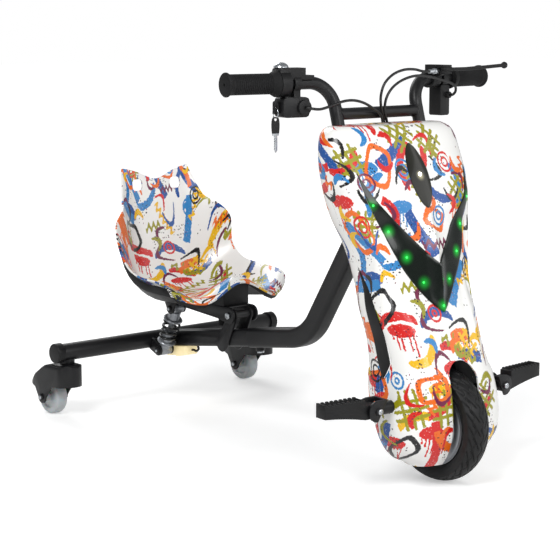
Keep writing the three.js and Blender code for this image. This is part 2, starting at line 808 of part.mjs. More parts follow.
function addBrakeSide() {
  addPart(leftEnd, 'grip_left', gripBody(gripFlangeRadius), blackRubber);
  const ring = rod(perchRadius, perchInner, perchInner + perchWidth, alongX, midSides);
  const bore = rod(barTubeRadius + seatGap, perchInner - cutOverrun, perchInner + perchWidth + cutOverrun,
    alongX, midSides);
  const armOutline = belt([leverPivotOut, -leverPivotAhead], leverDepth, [leverPivotOut, 0],
    leverDepth - seatGap);
  const arm = slab(armOutline, leverPlate * 2 + perchPlate, alongZ, 3).translate([0, 0, leverRise]);
  const slotBottom = leverRise - leverPlate / 2 - runGap;
  const slotTop = leverRise + leverPlate / 2 + runGap;
  const slot = block([leverPivotOut - leverDepth * 2, -leverPivotAhead - leverDepth * 2, slotBottom],
    [leverPivotOut + leverDepth * 2, -perchRadius - runGap, slotTop]);
  const barrelSeat = rod(adjusterRadius + perchPlate, leverPivotOut - leverDepth, leverPivotOut, alongX)
    .translate([0, -adjusterAhead, adjusterRise]);
  const pin = rod(perchPlate, leverRise - leverPlate, leverRise + leverPlate, alongZ)
    .translate([leverPivotOut, -leverPivotAhead, 0]);
  addPart(leftEnd, 'brake_holder', joined(cut(joined(ring, arm, barrelSeat), bore, slot), pin), blackPlastic);

  const eye = rod(leverDepth - runGap, leverRise - leverPlate / 2, leverRise + leverPlate / 2, alongZ,
    midSides).translate([leverPivotOut, -leverPivotAhead, 0]);
  const bow = leverPlate / 3;
  const blade = swept(roundedRectangle(leverPlate, leverDepth, leverPlate / 3), [
    new THREE.Vector3(leverPivotOut, -leverPivotAhead, leverRise),
    new THREE.Vector3((leverPivotOut * 2 + leverTipOut) / 3,
      -(leverPivotAhead * 2 + leverTipAhead) / 3 - bow, leverRise + seatGap),
    new THREE.Vector3((leverPivotOut + leverTipOut * 2) / 3,
      -(leverPivotAhead + leverTipAhead * 2) / 3 - bow, (leverRise + leverTipRise) / 2),
    new THREE.Vector3(leverTipOut, -leverTipAhead, leverTipRise)]);
  const ball = solid(new THREE.SphereGeometry(leverBall, 12, 8))
    .translate([leverTipOut, -leverTipAhead, leverTipRise]);
  const pinHole = rod(perchPlate + runGap, leverRise - leverPlate, leverRise + leverPlate, alongZ)
    .translate([leverPivotOut, -leverPivotAhead, 0]);
  addPart(leftEnd, 'brake_lever', cut(joined(eye, blade, ball), pinHole), blackPlastic);

  const start = leverPivotOut - leverDepth - seatGap;
  const profile = [[0, start - adjusterLength], [leadRadius * 1.5, start - adjusterLength],
    [leadRadius * 1.5, start - adjusterLength / 2], [adjusterRadius, start - adjusterLength / 2],
    [adjusterRadius, start], [0, start]];
  addPart(leftEnd, 'barrel_adjuster', turned(profile, alongX)
    .translate([0, -adjusterAhead, adjusterRise]), brightSteel);
}

function addSwitch() {
  const ring = rod(perchRadius, switchOut - switchRingWidth / 2, switchOut + switchRingWidth / 2,
    alongX, midSides);
  const bore = rod(barTubeRadius + seatGap, switchOut - switchRingWidth, switchOut + switchRingWidth,
    alongX, midSides);
  const body = slab(roundedRectangle(switchWidth, switchHeight, perchPlate), switchDepth, acrossY, 1)
    .translate([switchOut, 0, -switchTop - switchHeight / 2]);
  const gland = rod(glandRadius, -switchDepth / 2 - glandLength, 0, alongY)
    .translate([switchOut + switchWidth / 6, 0, -buttonDrop]);
  const well = rod(buttonRadius + runGap, switchDepth / 4, switchDepth, alongY)
    .translate([switchOut, 0, -switchTop - buttonDrop]);
  addPart(leftEnd, 'switch_housing', cut(joined(ring, body, gland), bore, well), blackPlastic);
  const button = rod(buttonRadius, switchDepth / 4 + buttonStand, switchDepth / 2 + buttonStand, alongY)
    .translate([switchOut, 0, -switchTop - buttonDrop]);
  addPart(leftEnd, 'light_button', button, greyPaint);
}

// Fairing sections: share of the height, then of the half width, the front depth and the rear depth, the
// depths being taken from the steering axis
const fairingShares = [
  [0, 0.52, 0.38, 0.69],
  [0.03, 0.65, 0.55, 0.82],
  [0.085, 0.762, 0.76, 0.84],
  [0.175, 0.775, 0.93, 0.95],
  [0.28, 0.715, 1, 0.93],
  [0.37, 0.705, 0.92, 0.81],
  [0.46, 0.74, 0.815, 0.735],
  [0.53, 0.722, 0.9, 0.79],
  [0.635, 0.775, 0.967, 0.835],
  [0.74, 0.914, 0.913, 0.85],
  [0.845, 0.993, 0.815, 0.69],
  [0.92, 1, 0.715, 0.53],
  [0.97, 0.967, 0.645, 0.39],
  [0.99, 0.915, 0.575, 0.3],
  [1, 0.834, 0.49, 0.23],
];
const fairingRings = 17;
const ringCrowdingShare = 0.75;
const sectionPoints = 32;
const sectionPower = 3;
const halfWidthShare = tableCurve(fairingShares, 1);
const frontShare = tableCurve(fairingShares, 2);
const rearShare = tableCurve(fairingShares, 3);

// A horizontal section of the fairing as a rounded box, drawn in by an inset.
function fairingSection(share, inset) {
  const height = fairingBottom + share * fairingHeight;
  const half = halfWidthShare(share) * fairingHalfWidth - inset;
  const front = frontShare(share) * fairingFrontDepth - inset;
  const rear = rearShare(share) * fairingRearDepth - inset;
  const middle = axisDepth(height) + (rear - front) / 2;
  const rounded = (value) => Math.sign(value) * Math.abs(value) ** (2 / sectionPower);
  const ring = [];
  for (let i = 0; i < sectionPoints; i += 1) {
    const angle = (i / sectionPoints) * Math.PI * 2;
    ring.push(new THREE.Vector3(half * rounded(Math.cos(angle)),
      middle + ((front + rear) / 2) * rounded(Math.sin(angle)), height));
  }
  return ring;
}

// The fairing's outline as a closed body. The rings stand closer together near the top and the bottom.
function fairingBody(inset, top = 0, bottom = 0) {
  const rings = [];
  for (let i = 0; i < fairingRings; i += 1) {
    const even = i / (fairingRings - 1);
    const share = THREE.MathUtils.lerp(even, even * even * (3 - 2 * even), ringCrowdingShare);
    rings.push(fairingSection(share, inset));
  }
  if (top > 0) rings.at(-1).forEach((point) => point.setZ(point.z - top));
  if (bottom > 0) rings[0].forEach((point) => point.setZ(point.z - bottom));
  return lofted(rings);
}

const fairingOuter = fairingBody(0);
const fairingInner = fairingBody(fairingWall, fairingWall, cutOverrun);

function mirroredOutline(half) {
  const other = half.slice().reverse().filter((point) => point.x > 0)
    .map((point) => new THREE.Vector2(-point.x, point.y));
  return half.concat(other);
}

// The V of the light cover, as shares of its half width and height
const lensOuterShares = [[0, 0], [0.55, 0.17], [0.88, 0.42], [1, 1]];
const lensInnerShares = [[1, 1], [0.88, 0.8], [0.5, 0.5], [0, 0.34]];
const lensSteps = 9;

function lensOutline(gap) {
  const place = ([x, y]) => new THREE.Vector2(x * lensHalfWidth, lensBottom + y * lensHeight);
  const outer = new THREE.CubicBezierCurve(...lensOuterShares.map(place)).getPoints(lensSteps);
  const inner = new THREE.CubicBezierCurve(...lensInnerShares.map(place)).getPoints(lensSteps);
  return new THREE.Shape(grown(mirroredOutline(outer.concat(inner.slice(1))), gap));
}

// The headlamp's pointed oval: the power draws its ends in
const headlampPoints = 20;
const headlampPower = 1.3;

function headlampOutline(gap) {
  const middle = headlampBottom + headlampHeight / 2;
  const half = headlampHeight / 2 + gap;
  const points = [];
  for (let i = 0; i < headlampPoints; i += 1) {
    const angle = (i / headlampPoints) * Math.PI * 2;
    const swell = Math.abs(Math.sin(angle)) ** headlampPower * Math.sign(Math.sin(angle));
    points.push(new THREE.Vector2((headlampHalfWidth + gap) * swell, middle - half * Math.cos(angle)));
  }
  return new THREE.Shape(points);
}

// The side inlay in the plane of the steering axis, as shares of its width and height
const inlayFrontShares = [[0.02, 1], [0.5, 0.77], [0.85, 0.56], [0.95, 0.3], [1, 0.12]];
const inlayBackShares = [[0.3, 0], [0.16, 0.07], [0.03, 0.18]];
const inlaySteps = 8;

function inlayOutline(gap) {
  const place = ([x, y]) => new THREE.Vector2(-x * inlayWidth, inlayBottom + y * inlayHeight);
  const front = new THREE.SplineCurve(inlayFrontShares.map(place)).getPoints(inlaySteps);
  return new THREE.Shape(grown(front.concat(inlayBackShares.map(place)), gap));
}

function slotOutline() {
  const shape = new THREE.Shape();
  const centre = wheelSlotTop - wheelSlotHalf;
  shape.moveTo(-wheelSlotHalf, fairingBottom - cutOverrun);
  shape.lineTo(wheelSlotHalf, fairingBottom - cutOverrun);
  shape.absarc(0, centre, wheelSlotHalf, 0, Math.PI);
  return shape;
}

function rearDoorOutline() {
  const shape = new THREE.Shape();
  shape.moveTo(-rearDoorHalfWidth, fairingBottom - cutOverrun);
  shape.lineTo(rearDoorHalfWidth, fairingBottom - cutOverrun);
  shape.absellipse(0, rearDoorShoulder, rearDoorHalfWidth, rearDoorTop - rearDoorShoulder, 0, Math.PI);
  return shape;
}

// The half space ahead of the steering axis (towards = -1) or behind it (towards = 1)
function besideAxis(towards, gap) {
  const reach = fairingHeight * 2;
  const near = towards * gap;
  const far = towards * reach;
  return inSteering(block([-reach, Math.min(near, far), -reach], [reach, Math.max(near, far), reach]));
}

function uprightHoles() {
  const from = alongAxis(fairingBottom + fairingHeight) - headTubeLength;
  const hole = rod(barTubeRadius + topHoleGap, from, from + headTubeLength * 2, alongZ, midSides);
  return [-1, 1].map((side) => inSteering(hole.translate([side * uprightHalfSpan, 0, 0])));
}

function leadHole() {
  const height = fairingBottom + fairingHeight;
  return rod(leadHoleRadius, height - fairingWall * 4, height + cutOverrun, alongZ, midSides)
    .translate([leadHoleSide, axisDepth(height) - leadHoleAhead, 0]);
}

function addFairing() {
  const shell = cut(fairingOuter, fairingInner, ...uprightHoles());
  const pegHole = rod(pegArmRadius + topHoleGap, 0, fairingHalfWidth, alongX, midSides);
  const pegHoles = [Math.PI - pegSweep, pegSweep]
    .map((turn) => pegHole.rotate([0, 0, turn / degree]).translate([0, pegArmDepth, pegHeight]));
  const lensCut = slab(lensOutline(seatGap), fairingHalfWidth * 4, acrossY);
  const headlampCut = slab(headlampOutline(seatGap), fairingHalfWidth * 4, acrossY);
  const slotCut = slab(slotOutline(), fairingHalfWidth * 4, acrossY, 6);
  const inlayCut = inSteering(slab(inlayOutline(seatGap), fairingHalfWidth * 4, alongX));
  const front = cut(common(shell, besideAxis(-1, seatGap / 2)), ...pegHoles, lensCut, headlampCut, slotCut,
    inlayCut, leadHole());
  addPart(scooter, 'fairing_front', front, whiteShell);
  const door = slab(rearDoorOutline(), fairingHalfWidth * 4, acrossY, 6);
  const rear = cut(common(shell, besideAxis(1, seatGap / 2)), door, ...pegHoles);
  addPart(scooter, 'fairing_rear', rear, whiteShell);
}

// Covers that fill the openings of the front shell. They stand a little proud of it.
function coverIn(outline, proud, direction) {
  const skin = cut(fairingBody(-proud), fairingInner, ...uprightHoles());
  const through = slab(outline, fairingHalfWidth * 4, direction);
  return common(skin, direction === alongX ? inSteering(through) : through);
}

function addCovers() {
  const ahead = besideAxis(-1, seatGap / 2);
  const lens = common(coverIn(lensOutline(0), lensProud, acrossY), ahead);
  addPart(scooter, 'v_light_cover', lens, greenLens);
  const headlamp = common(coverIn(headlampOutline(0), headlampProud, acrossY), ahead);
  addPart(scooter, 'headlamp_lens', headlamp, smokedLens);
  const inlays = coverIn(inlayOutline(0), inlayProud, alongX);
  const reach = fairingHeight * 2;
  const rightHalf = block([-reach, -reach, -reach], [0, reach, reach]);
  addPart(scooter, 'side_inlay_right', common(inlays, rightHalf), blackPlastic);
  addPart(scooter, 'side_inlay_left', cut(inlays, rightHalf), blackPlastic);
}

// Battery and controller, held between the fork legs above the tyre
const batteryDepth = 56;
const batteryHeight = 160;
const batteryCorner = 4;
const controllerHeight = 44;
const controllerDepth = 50;
const finCount = 6;
const finDepth = 3;
const finGapFromShare = 0.25;
const tyreClearance = 14;

function addElectrics() {
  const width = (legGapHalf - seatGap) * 2;
  const controllerFrom = axleUp + tyreRadius + tyreClearance;
  const controllerTo = controllerFrom + controllerHeight;
  let controller = block([-width / 2, -controllerDepth / 2, controllerFrom],
    [width / 2, controllerDepth / 2, controllerTo]);
  const pitch = controllerHeight / finCount;
  for (let i = 0; i < finCount; i += 1) {
    const from = controllerFrom + pitch * (i + finGapFromShare);
    controller = cut(controller, block([-width / 2 - cutOverrun, controllerDepth / 2 - finDepth, from],
      [width / 2 + cutOverrun, controllerDepth / 2 + cutOverrun, from + pitch / 2]));
  }
  addPart(steering, 'motor_controller', controller, castAluminium);
  const batteryFrom = controllerTo + seatGap;
  const pack = slab(roundedRectangle(width, batteryDepth, batteryCorner), batteryHeight, alongZ, 1)
    .translate([0, 0, batteryFrom + batteryHeight / 2]);
  addPart(steering, 'battery_pack', pack, batteryWrap);
}

// Foot pegs: an arm from the fork leg out through the fairing, a clevis and a peg that folds up. The shares
// are where a tooth's flat top ends, where it meets the root and where the next one starts, going inwards.
const toothTopShare = 0.45;
const toothRootShare = 0.6;
const toothNextShare = 0.85;

function addPeg(side, name) {
  const place = new THREE.Group();
  place.position.set(0, pegArmDepth, pegHeight);
  place.rotation.z = side * pegSweep;
  scooter.add(place);
  const placed = (body) => (side > 0 ? body : body.mirror([1, 0, 0]));
  const legOuter = legGapHalf + legThickness;
  const clevisInner = pegPivotSide - clevisReach;
  const cheekHalf = pegDepth / 2 + runGap + clevisPlate;
  const flangeInner = legOuter + seatGap + legDepth * Math.tan(pegSweep);
  const flange = slab(roundedRectangle(legDepth, legDepth, flangeWall), flangeWall, alongX, 1)
    .translate([flangeInner + flangeWall / 2, legDepth / 3, 0]);
  const arm = rod(pegArmRadius, flangeInner, clevisInner + clevisPlate, alongX, midSides);
  const cheeks = new THREE.Shape();
  cheeks.moveTo(clevisInner, -clevisRadius);
  cheeks.absarc(pegPivotSide, 0, clevisRadius, -Math.PI / 2, Math.PI / 2);
  cheeks.lineTo(clevisInner, clevisRadius);
  const fork = slab(cheeks, cheekHalf * 2, acrossY, 4);
  const space = block([clevisInner + clevisPlate, -pegDepth / 2 - runGap, -clevisRadius * 2],
    [pegPivotSide + clevisRadius * 2, pegDepth / 2 + runGap, clevisRadius * 2]);
  const pin = rod(pivotBoltRadius, -cheekHalf, cheekHalf, alongY).translate([pegPivotSide, 0, 0]);
  const heads = [[-cheekHalf - clevisPlate, -cheekHalf], [cheekHalf, cheekHalf + clevisPlate]]
    .map(([from, to]) => rod(boltHeadRadius, from, to, alongY, 6).translate([pegPivotSide, 0, 0]));
  const bracket = joined(cut(joined(flange, arm, fork), space), pin, ...heads);
  addPart(place, `peg_bracket_${name}`, placed(bracket), framePaint);

  const tread = new THREE.Shape();
  const root = pegPivotSide + clevisRadius + clevisPlate;
  tread.moveTo(pegPivotSide, -pegBottom * 2);
  tread.lineTo(root, -pegBottom * 2);
  tread.quadraticCurveTo((root + pegEnd) / 2, -pegBottom / 2, pegEnd, 0);
  const pitch = (pegEnd - root) / pegToothCount;
  tread.lineTo(pegEnd, pegTop - pegToothHeight);
  for (let i = 0; i < pegToothCount; i += 1) {
    const out = pegEnd - pitch * i;
    tread.lineTo(out, pegTop);
    tread.lineTo(out - pitch * toothTopShare, pegTop);
    tread.lineTo(out - pitch * toothRootShare, pegTop - pegToothHeight);
    if (i < pegToothCount - 1) tread.lineTo(out - pitch * toothNextShare, pegTop - pegToothHeight);
  }
  tread.lineTo(root, pegTop - pegToothHeight);
  tread.lineTo(root, pegBottom * 2);
  tread.lineTo(pegPivotSide, pegBottom * 2);
  tread.absarc(pegPivotSide, 0, pegBottom * 2, Math.PI / 2, Math.PI * 1.5);
  const channel = block([root + clevisPlate, -pegDepth / 2 + clevisPlate, pegBottom * 2],
    [pegEnd - clevisPlate, pegDepth / 2 - clevisPlate, pegTop * 2]);
  const bore = rod(pivotBoltRadius + runGap, -pegDepth, pegDepth, alongY).translate([pegPivotSide, 0, 0]);
  const peg = cut(slab(tread, pegDepth, acrossY, 4), channel, bore);
  addPart(place, `footpeg_${name}`, placed(peg), blackPlastic);
}

// Leads, held from the controls down to the hole in the top of the fairing
const throttleLeadRoute = [[-164.45, 165, 639], [-165.2, 160, 638.8], [-161, 154, 637.5], [-146, 150, 636],
  [-124, 146, 641], [-100, 142, 648], [-78, 140, 649], [-55, 139, 644], [-30, 141, 633], [-10, 144.5, 622],
  [-2.6, 147, 609], [-2, 147.2, 599]];
const brakeCableRoute = [[119.5, 156.95, 693], [109, 155.5, 693.1], [96, 152.5, 694.5], [72, 145, 698],
  [40, 140, 698], [10, 137, 690], [-10, 136, 675], [-16, 138, 655], [-9, 144, 632], [2, 149.5, 614],
  [5, 151.5, 599]];
const switchLeadRoute = [[187.6, 169.25, 649], [188.4, 164, 649.5], [189.5, 158.5, 655], [185, 154, 664],
  [171, 151, 671], [155, 148.5, 675], [133, 147, 680], [105, 146, 685], [80, 145, 687], [55, 144, 684],
  [30, 143, 676], [12, 143, 664], [2, 144, 648], [1, 146, 628], [8, 148, 611], [10.5, 148, 599]];
const leadStep = 15;

function addLead(name, route) {
  const curve = new THREE.CatmullRomCurve3(route.map((point) => new THREE.Vector3(...point)));
  addPart(scooter, name, lead(route, leadRadius, Math.round(curve.getLength() / leadStep)), blackPlastic);
}

// Main frame: a front tube that rises to the head tube, and a rear tube that slides into it
const rearTube = new THREE.Group();
rearTube.position.set(0, wheelbase, barHeight - rearTubeDrop);
rearTube.rotation.x = -rearTubeRise;
scooter.add(rearTube);
rearTube.updateMatrix();
const slideGap = frameTubeWall + seatGap;
const innerTubeWidth = frameTubeWidth - slideGap * 2;
const innerTubeCorner = frameTubeCorner - slideGap;
const frameBendSteps = 7;

function onRearTube(distance) {
  return new THREE.Vector3(0, -distance, 0).applyMatrix4(rearTube.matrix);
}

function frameCorner() {
  const start = onRearTube(0);
  const way = onRearTube(1).sub(start);
  const meet = onAxis(diagonalMeet);
  const rise = new THREE.Vector3(0, -Math.cos(diagonalRise), Math.sin(diagonalRise));
  const gap = meet.clone().sub(start);
  const distance = (gap.y * rise.z - gap.z * rise.y) / (way.y * rise.z - way.z * rise.y);
  const end = meet.addScaledVector(rise, -diagonalStopShort);
  return { corner: start.addScaledVector(way, distance), end };
}

function addFrontFrame() {
  const { corner, end } = frameCorner();
  const tubeFrom = (distance) => bentLine([onRearTube(distance), corner, end], frameBendRadius,
    frameBendSteps);
  const hollowWidth = frameTubeWidth - frameTubeWall * 2;
  const outer = swept(roundedRectangle(frameTubeWidth, frameTubeWidth, frameTubeCorner),
    tubeFrom(sleeveBack));
  const inner = swept(roundedRectangle(hollowWidth, hollowWidth, frameTubeCorner - frameTubeWall),
    tubeFrom(sleeveBack - cutOverrun));
  const headTube = inSteering(rod(headTubeRadius, headTubeBottom, headTubeTop, alongZ, midSides));
  const bore = inSteering(rod(headTubeBore, headTubeBottom - cutOverrun, headTubeTop + cutOverrun,
    alongZ, midSides));
  const underside = -frameTubeWidth / 2;
  const place = [0, -sleeveBack - lockBoltInset, 0];
  const boss = rod(lockBossRadius, underside - lockBossHeight, underside + frameTubeWall / 2,
    alongZ, midSides).translate(place).transform(rearTube.matrix.elements);
  const boltHole = rod(lockBoltRadius + seatGap, underside - lockBossHeight - cutOverrun,
    underside + frameTubeWall + cutOverrun, alongZ).translate(place).transform(rearTube.matrix.elements);
  const tube = cut(joined(outer, headTube, boss), cut(inner, headTube), bore, boltHole);
  addPart(scooter, 'frame_front_tube', tube, framePaint);

  const headTop = underside - lockBossHeight - seatGap;
  const bolt = joined(rod(lockBoltRadius, headTop, -hollowWidth / 2, alongZ),
    rod(lockBossRadius - frameTubeWall, headTop - lockBoltRadius, headTop, alongZ, 6));
  addPart(rearTube, 'length_lock_bolt', bolt.translate(place), brightSteel);
}

function addRearTube() {
  const along = (width, corner, from, to) => slab(roundedRectangle(width, width, corner), to - from,
    acrossY, 1).translate([0, -(from + to) / 2, 0]);
  const outer = along(innerTubeWidth, innerTubeCorner, 0, rearTubeLength);
  const inner = along(innerTubeWidth - frameTubeWall * 2, innerTubeCorner - frameTubeWall, -cutOverrun,
    rearTubeLength + cutOverrun);
  const saddle = rod(barRadius + seatGap, -frameTubeWidth, frameTubeWidth, alongX, fineSides)
    .translate([0, -rearTubeDrop * Math.sin(rearTubeRise), rearTubeDrop * Math.cos(rearTubeRise)]);
  addPart(rearTube, 'frame_rear_tube', cut(outer, inner, saddle), framePaint);
}

// Rear axle bar with a neck for each caster, and the caps on its ends
const barHalfLength = casterTrack / 2 + barOverhang;
const barEndSide = barHalfLength - capWall - seatGap;

function addRearBar() {
  const bar = new THREE.Group();
  bar.position.set(0, wheelbase, barHeight);
  scooter.add(bar);
  const neckBottom = hoodTop + seatGap - barHeight;
  const tube = rod(barRadius, -barEndSide, barEndSide, alongX, midSides);
  const hollow = rod(barRadius - barWall, -barHalfLength, barHalfLength, alongX, midSides);
  const necks = [-1, 1].map((side) => rod(casterNeckRadius, neckBottom, 0, alongZ, midSides)
    .translate([side * casterTrack / 2, casterSetback, 0]));
  const bores = [-1, 1].map((side) => rod(casterStemRadius + runGap, neckBottom - cutOverrun, 0, alongZ)
    .translate([side * casterTrack / 2, casterSetback, 0]));
  addPart(bar, 'rear_axle_bar', cut(joined(tube, ...necks), hollow, ...bores), framePaint);

  const bore = barRadius + seatGap;
  const inside = barHalfLength - capWall;
  const mouth = barHalfLength - capLength;
  const profile = [[0, inside], [bore, inside], [bore, mouth], [capRadius, mouth],
    [capRadius, barHalfLength - frameTubeWall], [capRadius - frameTubeWall, barHalfLength],
    [0, barHalfLength]];
  const cap = turned(profile, alongX);
  addPart(bar, 'axle_end_cap_left', cap, blackPlastic);
  addPart(bar, 'axle_end_cap_right', cap.mirror([1, 0, 0]), blackPlastic);
}

// Casters: a moulded hood with its stem and axle bolt, and a wheel, in a group on its swivel axis
const stemTopAboveBar = 10;
const casterAxleHeight = casterWheelRadius;
const casterBossRadius = 9;
const hoodTopShares = [[0.2, 1], [0.44, 0.94], [0.79, 0.74]];
const hoodUnderShares = [[0.81, 0.49], [0.2, 0.56]];
const hornTaperShare = 0.75;
const hornTipShare = 0.7;
const dishShare = 0.7;
const rimShare = 0.68;

function hoodProfile(inset, below) {
  const along = (share) => share * hornReach;
  const shape = new THREE.Shape();
  shape.moveTo(-hoodFront + inset, below ? -below : hoodFrontEdge);
  shape.lineTo(-hoodFront + inset, hoodTop - hoodWall * 3);
  shape.quadraticCurveTo(-hoodFront + inset, hoodTop - inset, -hoodFront + hoodWall * 3 + inset,
    hoodTop - inset);
  hoodTopShares.forEach(([back, up]) => shape.lineTo(along(back) - inset / 2, up * hoodTop - inset));
  shape.lineTo(hornReach - inset, hornHeight - inset / 2);
  if (below) {
    shape.lineTo(hornReach - inset, -below);
  } else {
    shape.lineTo(along(hoodUnderShares[0][0]), hoodUnderShares[0][1] * hoodTop);
    shape.absarc(casterTrail, casterAxleHeight, casterLobeRadius, 0, -Math.PI, true);
    shape.lineTo(along(hoodUnderShares[1][0]), hoodUnderShares[1][1] * hoodTop);
  }
  return slab(shape, hoodWidth - inset * 2, alongX, 3);
}

function hoodPlan(inset) {
  const half = hoodWidth / 2 - inset;
  const plan = new THREE.Shape();
  plan.absellipse(0, 0, half, hoodFront - inset, Math.PI, Math.PI * 2);
  plan.lineTo(half, hornReach * hornTaperShare);
  plan.quadraticCurveTo(half, hornReach - inset, half * hornTipShare, hornReach - inset);
  plan.lineTo(-half * hornTipShare, hornReach - inset);
  plan.quadraticCurveTo(-half, hornReach - inset, -half, hornReach * hornTaperShare);
  return slab(plan, hoodTop * 4, alongZ, 5);
}

function addCaster(side, name) {
  const caster = new THREE.Group();
  caster.position.set(side * casterTrack / 2, wheelbase + casterSetback, 0);
  scooter.add(caster);
  const crossSection = slab(roundedRectangle(hoodWidth, hoodTop * 2, hoodWidth / 4), hoodTop * 4, acrossY, 4);
  const inside = common(hoodProfile(hoodWall, hoodTop), hoodPlan(hoodWall));
  const hood = cut(common(hoodProfile(0, 0), hoodPlan(0), crossSection), inside);
  const stem = rod(casterStemRadius, hoodTop - hoodWall, barHeight + stemTopAboveBar, alongZ);
  const place = [0, casterTrail, casterAxleHeight];
  const half = hoodWidth / 2;
  const bolt = joined(rod(casterBoltRadius, -half, half, alongX),
    rod(boltHeadRadius, half - hoodWall / 2, half + boltHeadHeight, alongX, 6),
    rod(boltHeadRadius, -half - boltHeadHeight, -half + hoodWall / 2, alongX, 6)).translate(place);
  addPart(caster, `caster_fork_${name}`, joined(hood, stem, bolt), framePaint);

  const bore = casterBoltRadius + runGap;
  const bossHalf = half - hoodWall - runGap;
  const tread = casterWheelWidth / 2;
  const dish = tread * dishShare;
  const outline = [[bore, bossHalf], [casterBossRadius, bossHalf], [casterBossRadius, dish],
    [casterWheelRadius * rimShare - rimLip, dish], [casterWheelRadius * rimShare, tread],
    [casterWheelRadius - rimLip, tread], [casterWheelRadius, tread - rimLip * 2]];
  const other = outline.map(([r, along]) => [r, -along]).reverse();
  const wheel = turned([...outline, ...other, outline[0]], alongX).translate(place);
  addPart(caster, `caster_wheel_${name}`, wheel, paleWheel);
}

// Seat: the bracket on the rear tube, the bolt, the sprung arm and its rubber stop, the pan and the shell
const pivotBack = wheelbase - pivotAhead;
const tubeHeightAt = (back) => barHeight - rearTubeDrop + (wheelbase - back) * Math.tan(rearTubeRise);
const pivotHeight = tubeHeightAt(pivotBack) + pivotAboveTube;
const seatMount = new THREE.Group();
seatMount.position.set(0, pivotBack, pivotHeight);
scooter.add(seatMount);
const pivotSleeve = 8;
const pivotBore = pivotBoltRadius + runGap;
const lobeDropShare = 0.4;
const lobeDrop = pivotAboveTube + (pivotAboveTube - pivotSleeve) * lobeDropShare;
const armHeelShare = 0.25;
const armBellyShare = 0.62;

function addSeatBracket() {
  const inside = innerTubeWidth / 2 + seatGap;
  const outline = belt([0, 0], bracketEyeRadius, [bracketLobeBack, -lobeDrop], bracketLobeRadius);
  const plates = [-1, 1].map((side) => slab(outline, bracketWall, alongX, 5)
    .translate([side * (inside + bracketWall / 2), 0, 0]));
  const sleeve = rod(pivotSleeve, -inside - bracketWall / 2, inside + bracketWall / 2, alongX, midSides);
  const bore = rod(pivotBore, -armWidth, armWidth, alongX);
  addPart(seatMount, 'seat_pivot_bracket', cut(joined(...plates, sleeve), bore), framePaint);
  const headFrom = armWidth / 2 + seatGap;
  addPart(seatMount, 'seat_pivot_bolt', joined(rod(pivotBoltRadius, -headFrom, headFrom, alongX),
    rod(boltHeadRadius, headFrom - seatGap / 2, headFrom + boltHeadHeight, alongX, 6),
    rod(boltHeadRadius, -headFrom - boltHeadHeight, -headFrom + seatGap / 2, alongX, 6)), brightSteel);
}

function addSeatArm() {
  const outline = new THREE.Shape();
  outline.absarc(0, 0, armRadius, -Math.PI / 2, -Math.PI * 1.5, true);
  outline.lineTo(armLength, armRadius);
  outline.lineTo(armLength, armRadius - armTailHeight);
  outline.lineTo(armLength * armHeelShare, -armRadius * armBellyShare);
  const channel = block([-armWidth / 2 + armWall, -armRadius * 2, -armRadius * 2],
    [armWidth / 2 - armWall, armLength + cutOverrun, armRadius - armWall]);
  const opening = block([-armWidth / 2 + armWall, -armRadius * 2, -armRadius * 2],
    [armWidth / 2 - armWall, cutOverrun, armRadius * 2]);
  const bossInner = innerTubeWidth / 2 + seatGap + bracketWall + seatGap;
  const bossOuter = armWidth / 2 - armWall / 2;
  const bosses = [[bossInner, bossOuter], [-bossOuter, -bossInner]]
    .map(([from, to]) => rod(pivotSleeve, from, to, alongX, midSides));
  const bore = rod(pivotBore, -armWidth, armWidth, alongX);
  const shell = cut(slab(outline, armWidth, alongX, 5), channel, opening);
  addPart(seatMount, 'seat_arm', cut(joined(shell, ...bosses), bore), framePaint);

  const stopTop = armRadius - armWall - seatGap;
  const tubeTop = tubeHeightAt(pivotBack + bumpStopBack) + frameTubeWidth / 2 - pivotHeight;
  const stopBottom = tubeTop + bumpStopBack * Math.sin(bumpStopTravel) + seatGap;
  addPart(seatMount, 'bump_stop', rod(bumpStopRadius, stopBottom, stopTop, alongZ, midSides)
    .translate([0, bumpStopBack, 0]), blackRubber);
}

// The seat's outer face, from its front edge to the top of its back: places along the middle, at mid side
// and at the edge, as shares of the seat's width, length and height
const seatShares = [
  { centre: [0, 0.25], mid: [0.284, 0.013, 0.105], edge: [0.464, 0.13, 0.16] },
  { centre: [0.063, 0.28], mid: [0.284, 0.063, 0.151], edge: [0.491, 0.165, 0.245] },
  { centre: [0.23, 0.197], mid: [0.284, 0.23, 0.136], edge: [0.499, 0.28, 0.275] },
  { centre: [0.397, 0.113], mid: [0.284, 0.397, 0.124], edge: [0.499, 0.445, 0.285] },
  { centre: [0.563, 0.09], mid: [0.284, 0.563, 0.124], edge: [0.48, 0.6, 0.33] },
  { centre: [0.713, 0.113], mid: [0.267, 0.703, 0.159], edge: [0.477, 0.7, 0.45] },
  { centre: [0.813, 0.208], mid: [0.25, 0.797, 0.235], edge: [0.483, 0.733, 0.64] },
  { centre: [0.863, 0.38], mid: [0.234, 0.847, 0.387], edge: [0.41, 0.767, 0.742] },
  { centre: [0.903, 0.57], mid: [0.201, 0.897, 0.578], edge: [0.35, 0.85, 0.8] },
  { centre: [0.93, 0.799], mid: [0.166, 0.937, 0.818], edge: [0.304, 0.915, 0.93] },
  { centre: [0.95, 0.95], mid: [0.15, 0.957, 1], edge: [0.272, 0.965, 1.03] },
];
const seatFront = -4;
const seatLow = -4;
const seatStepsAlong = 2;
const seatStepsAcross = 4;
const panSideDepth = 14;
const harnessInner = 35;
const harnessOuter = 60;
const harnessBottom = 223;
const harnessTop = 246;

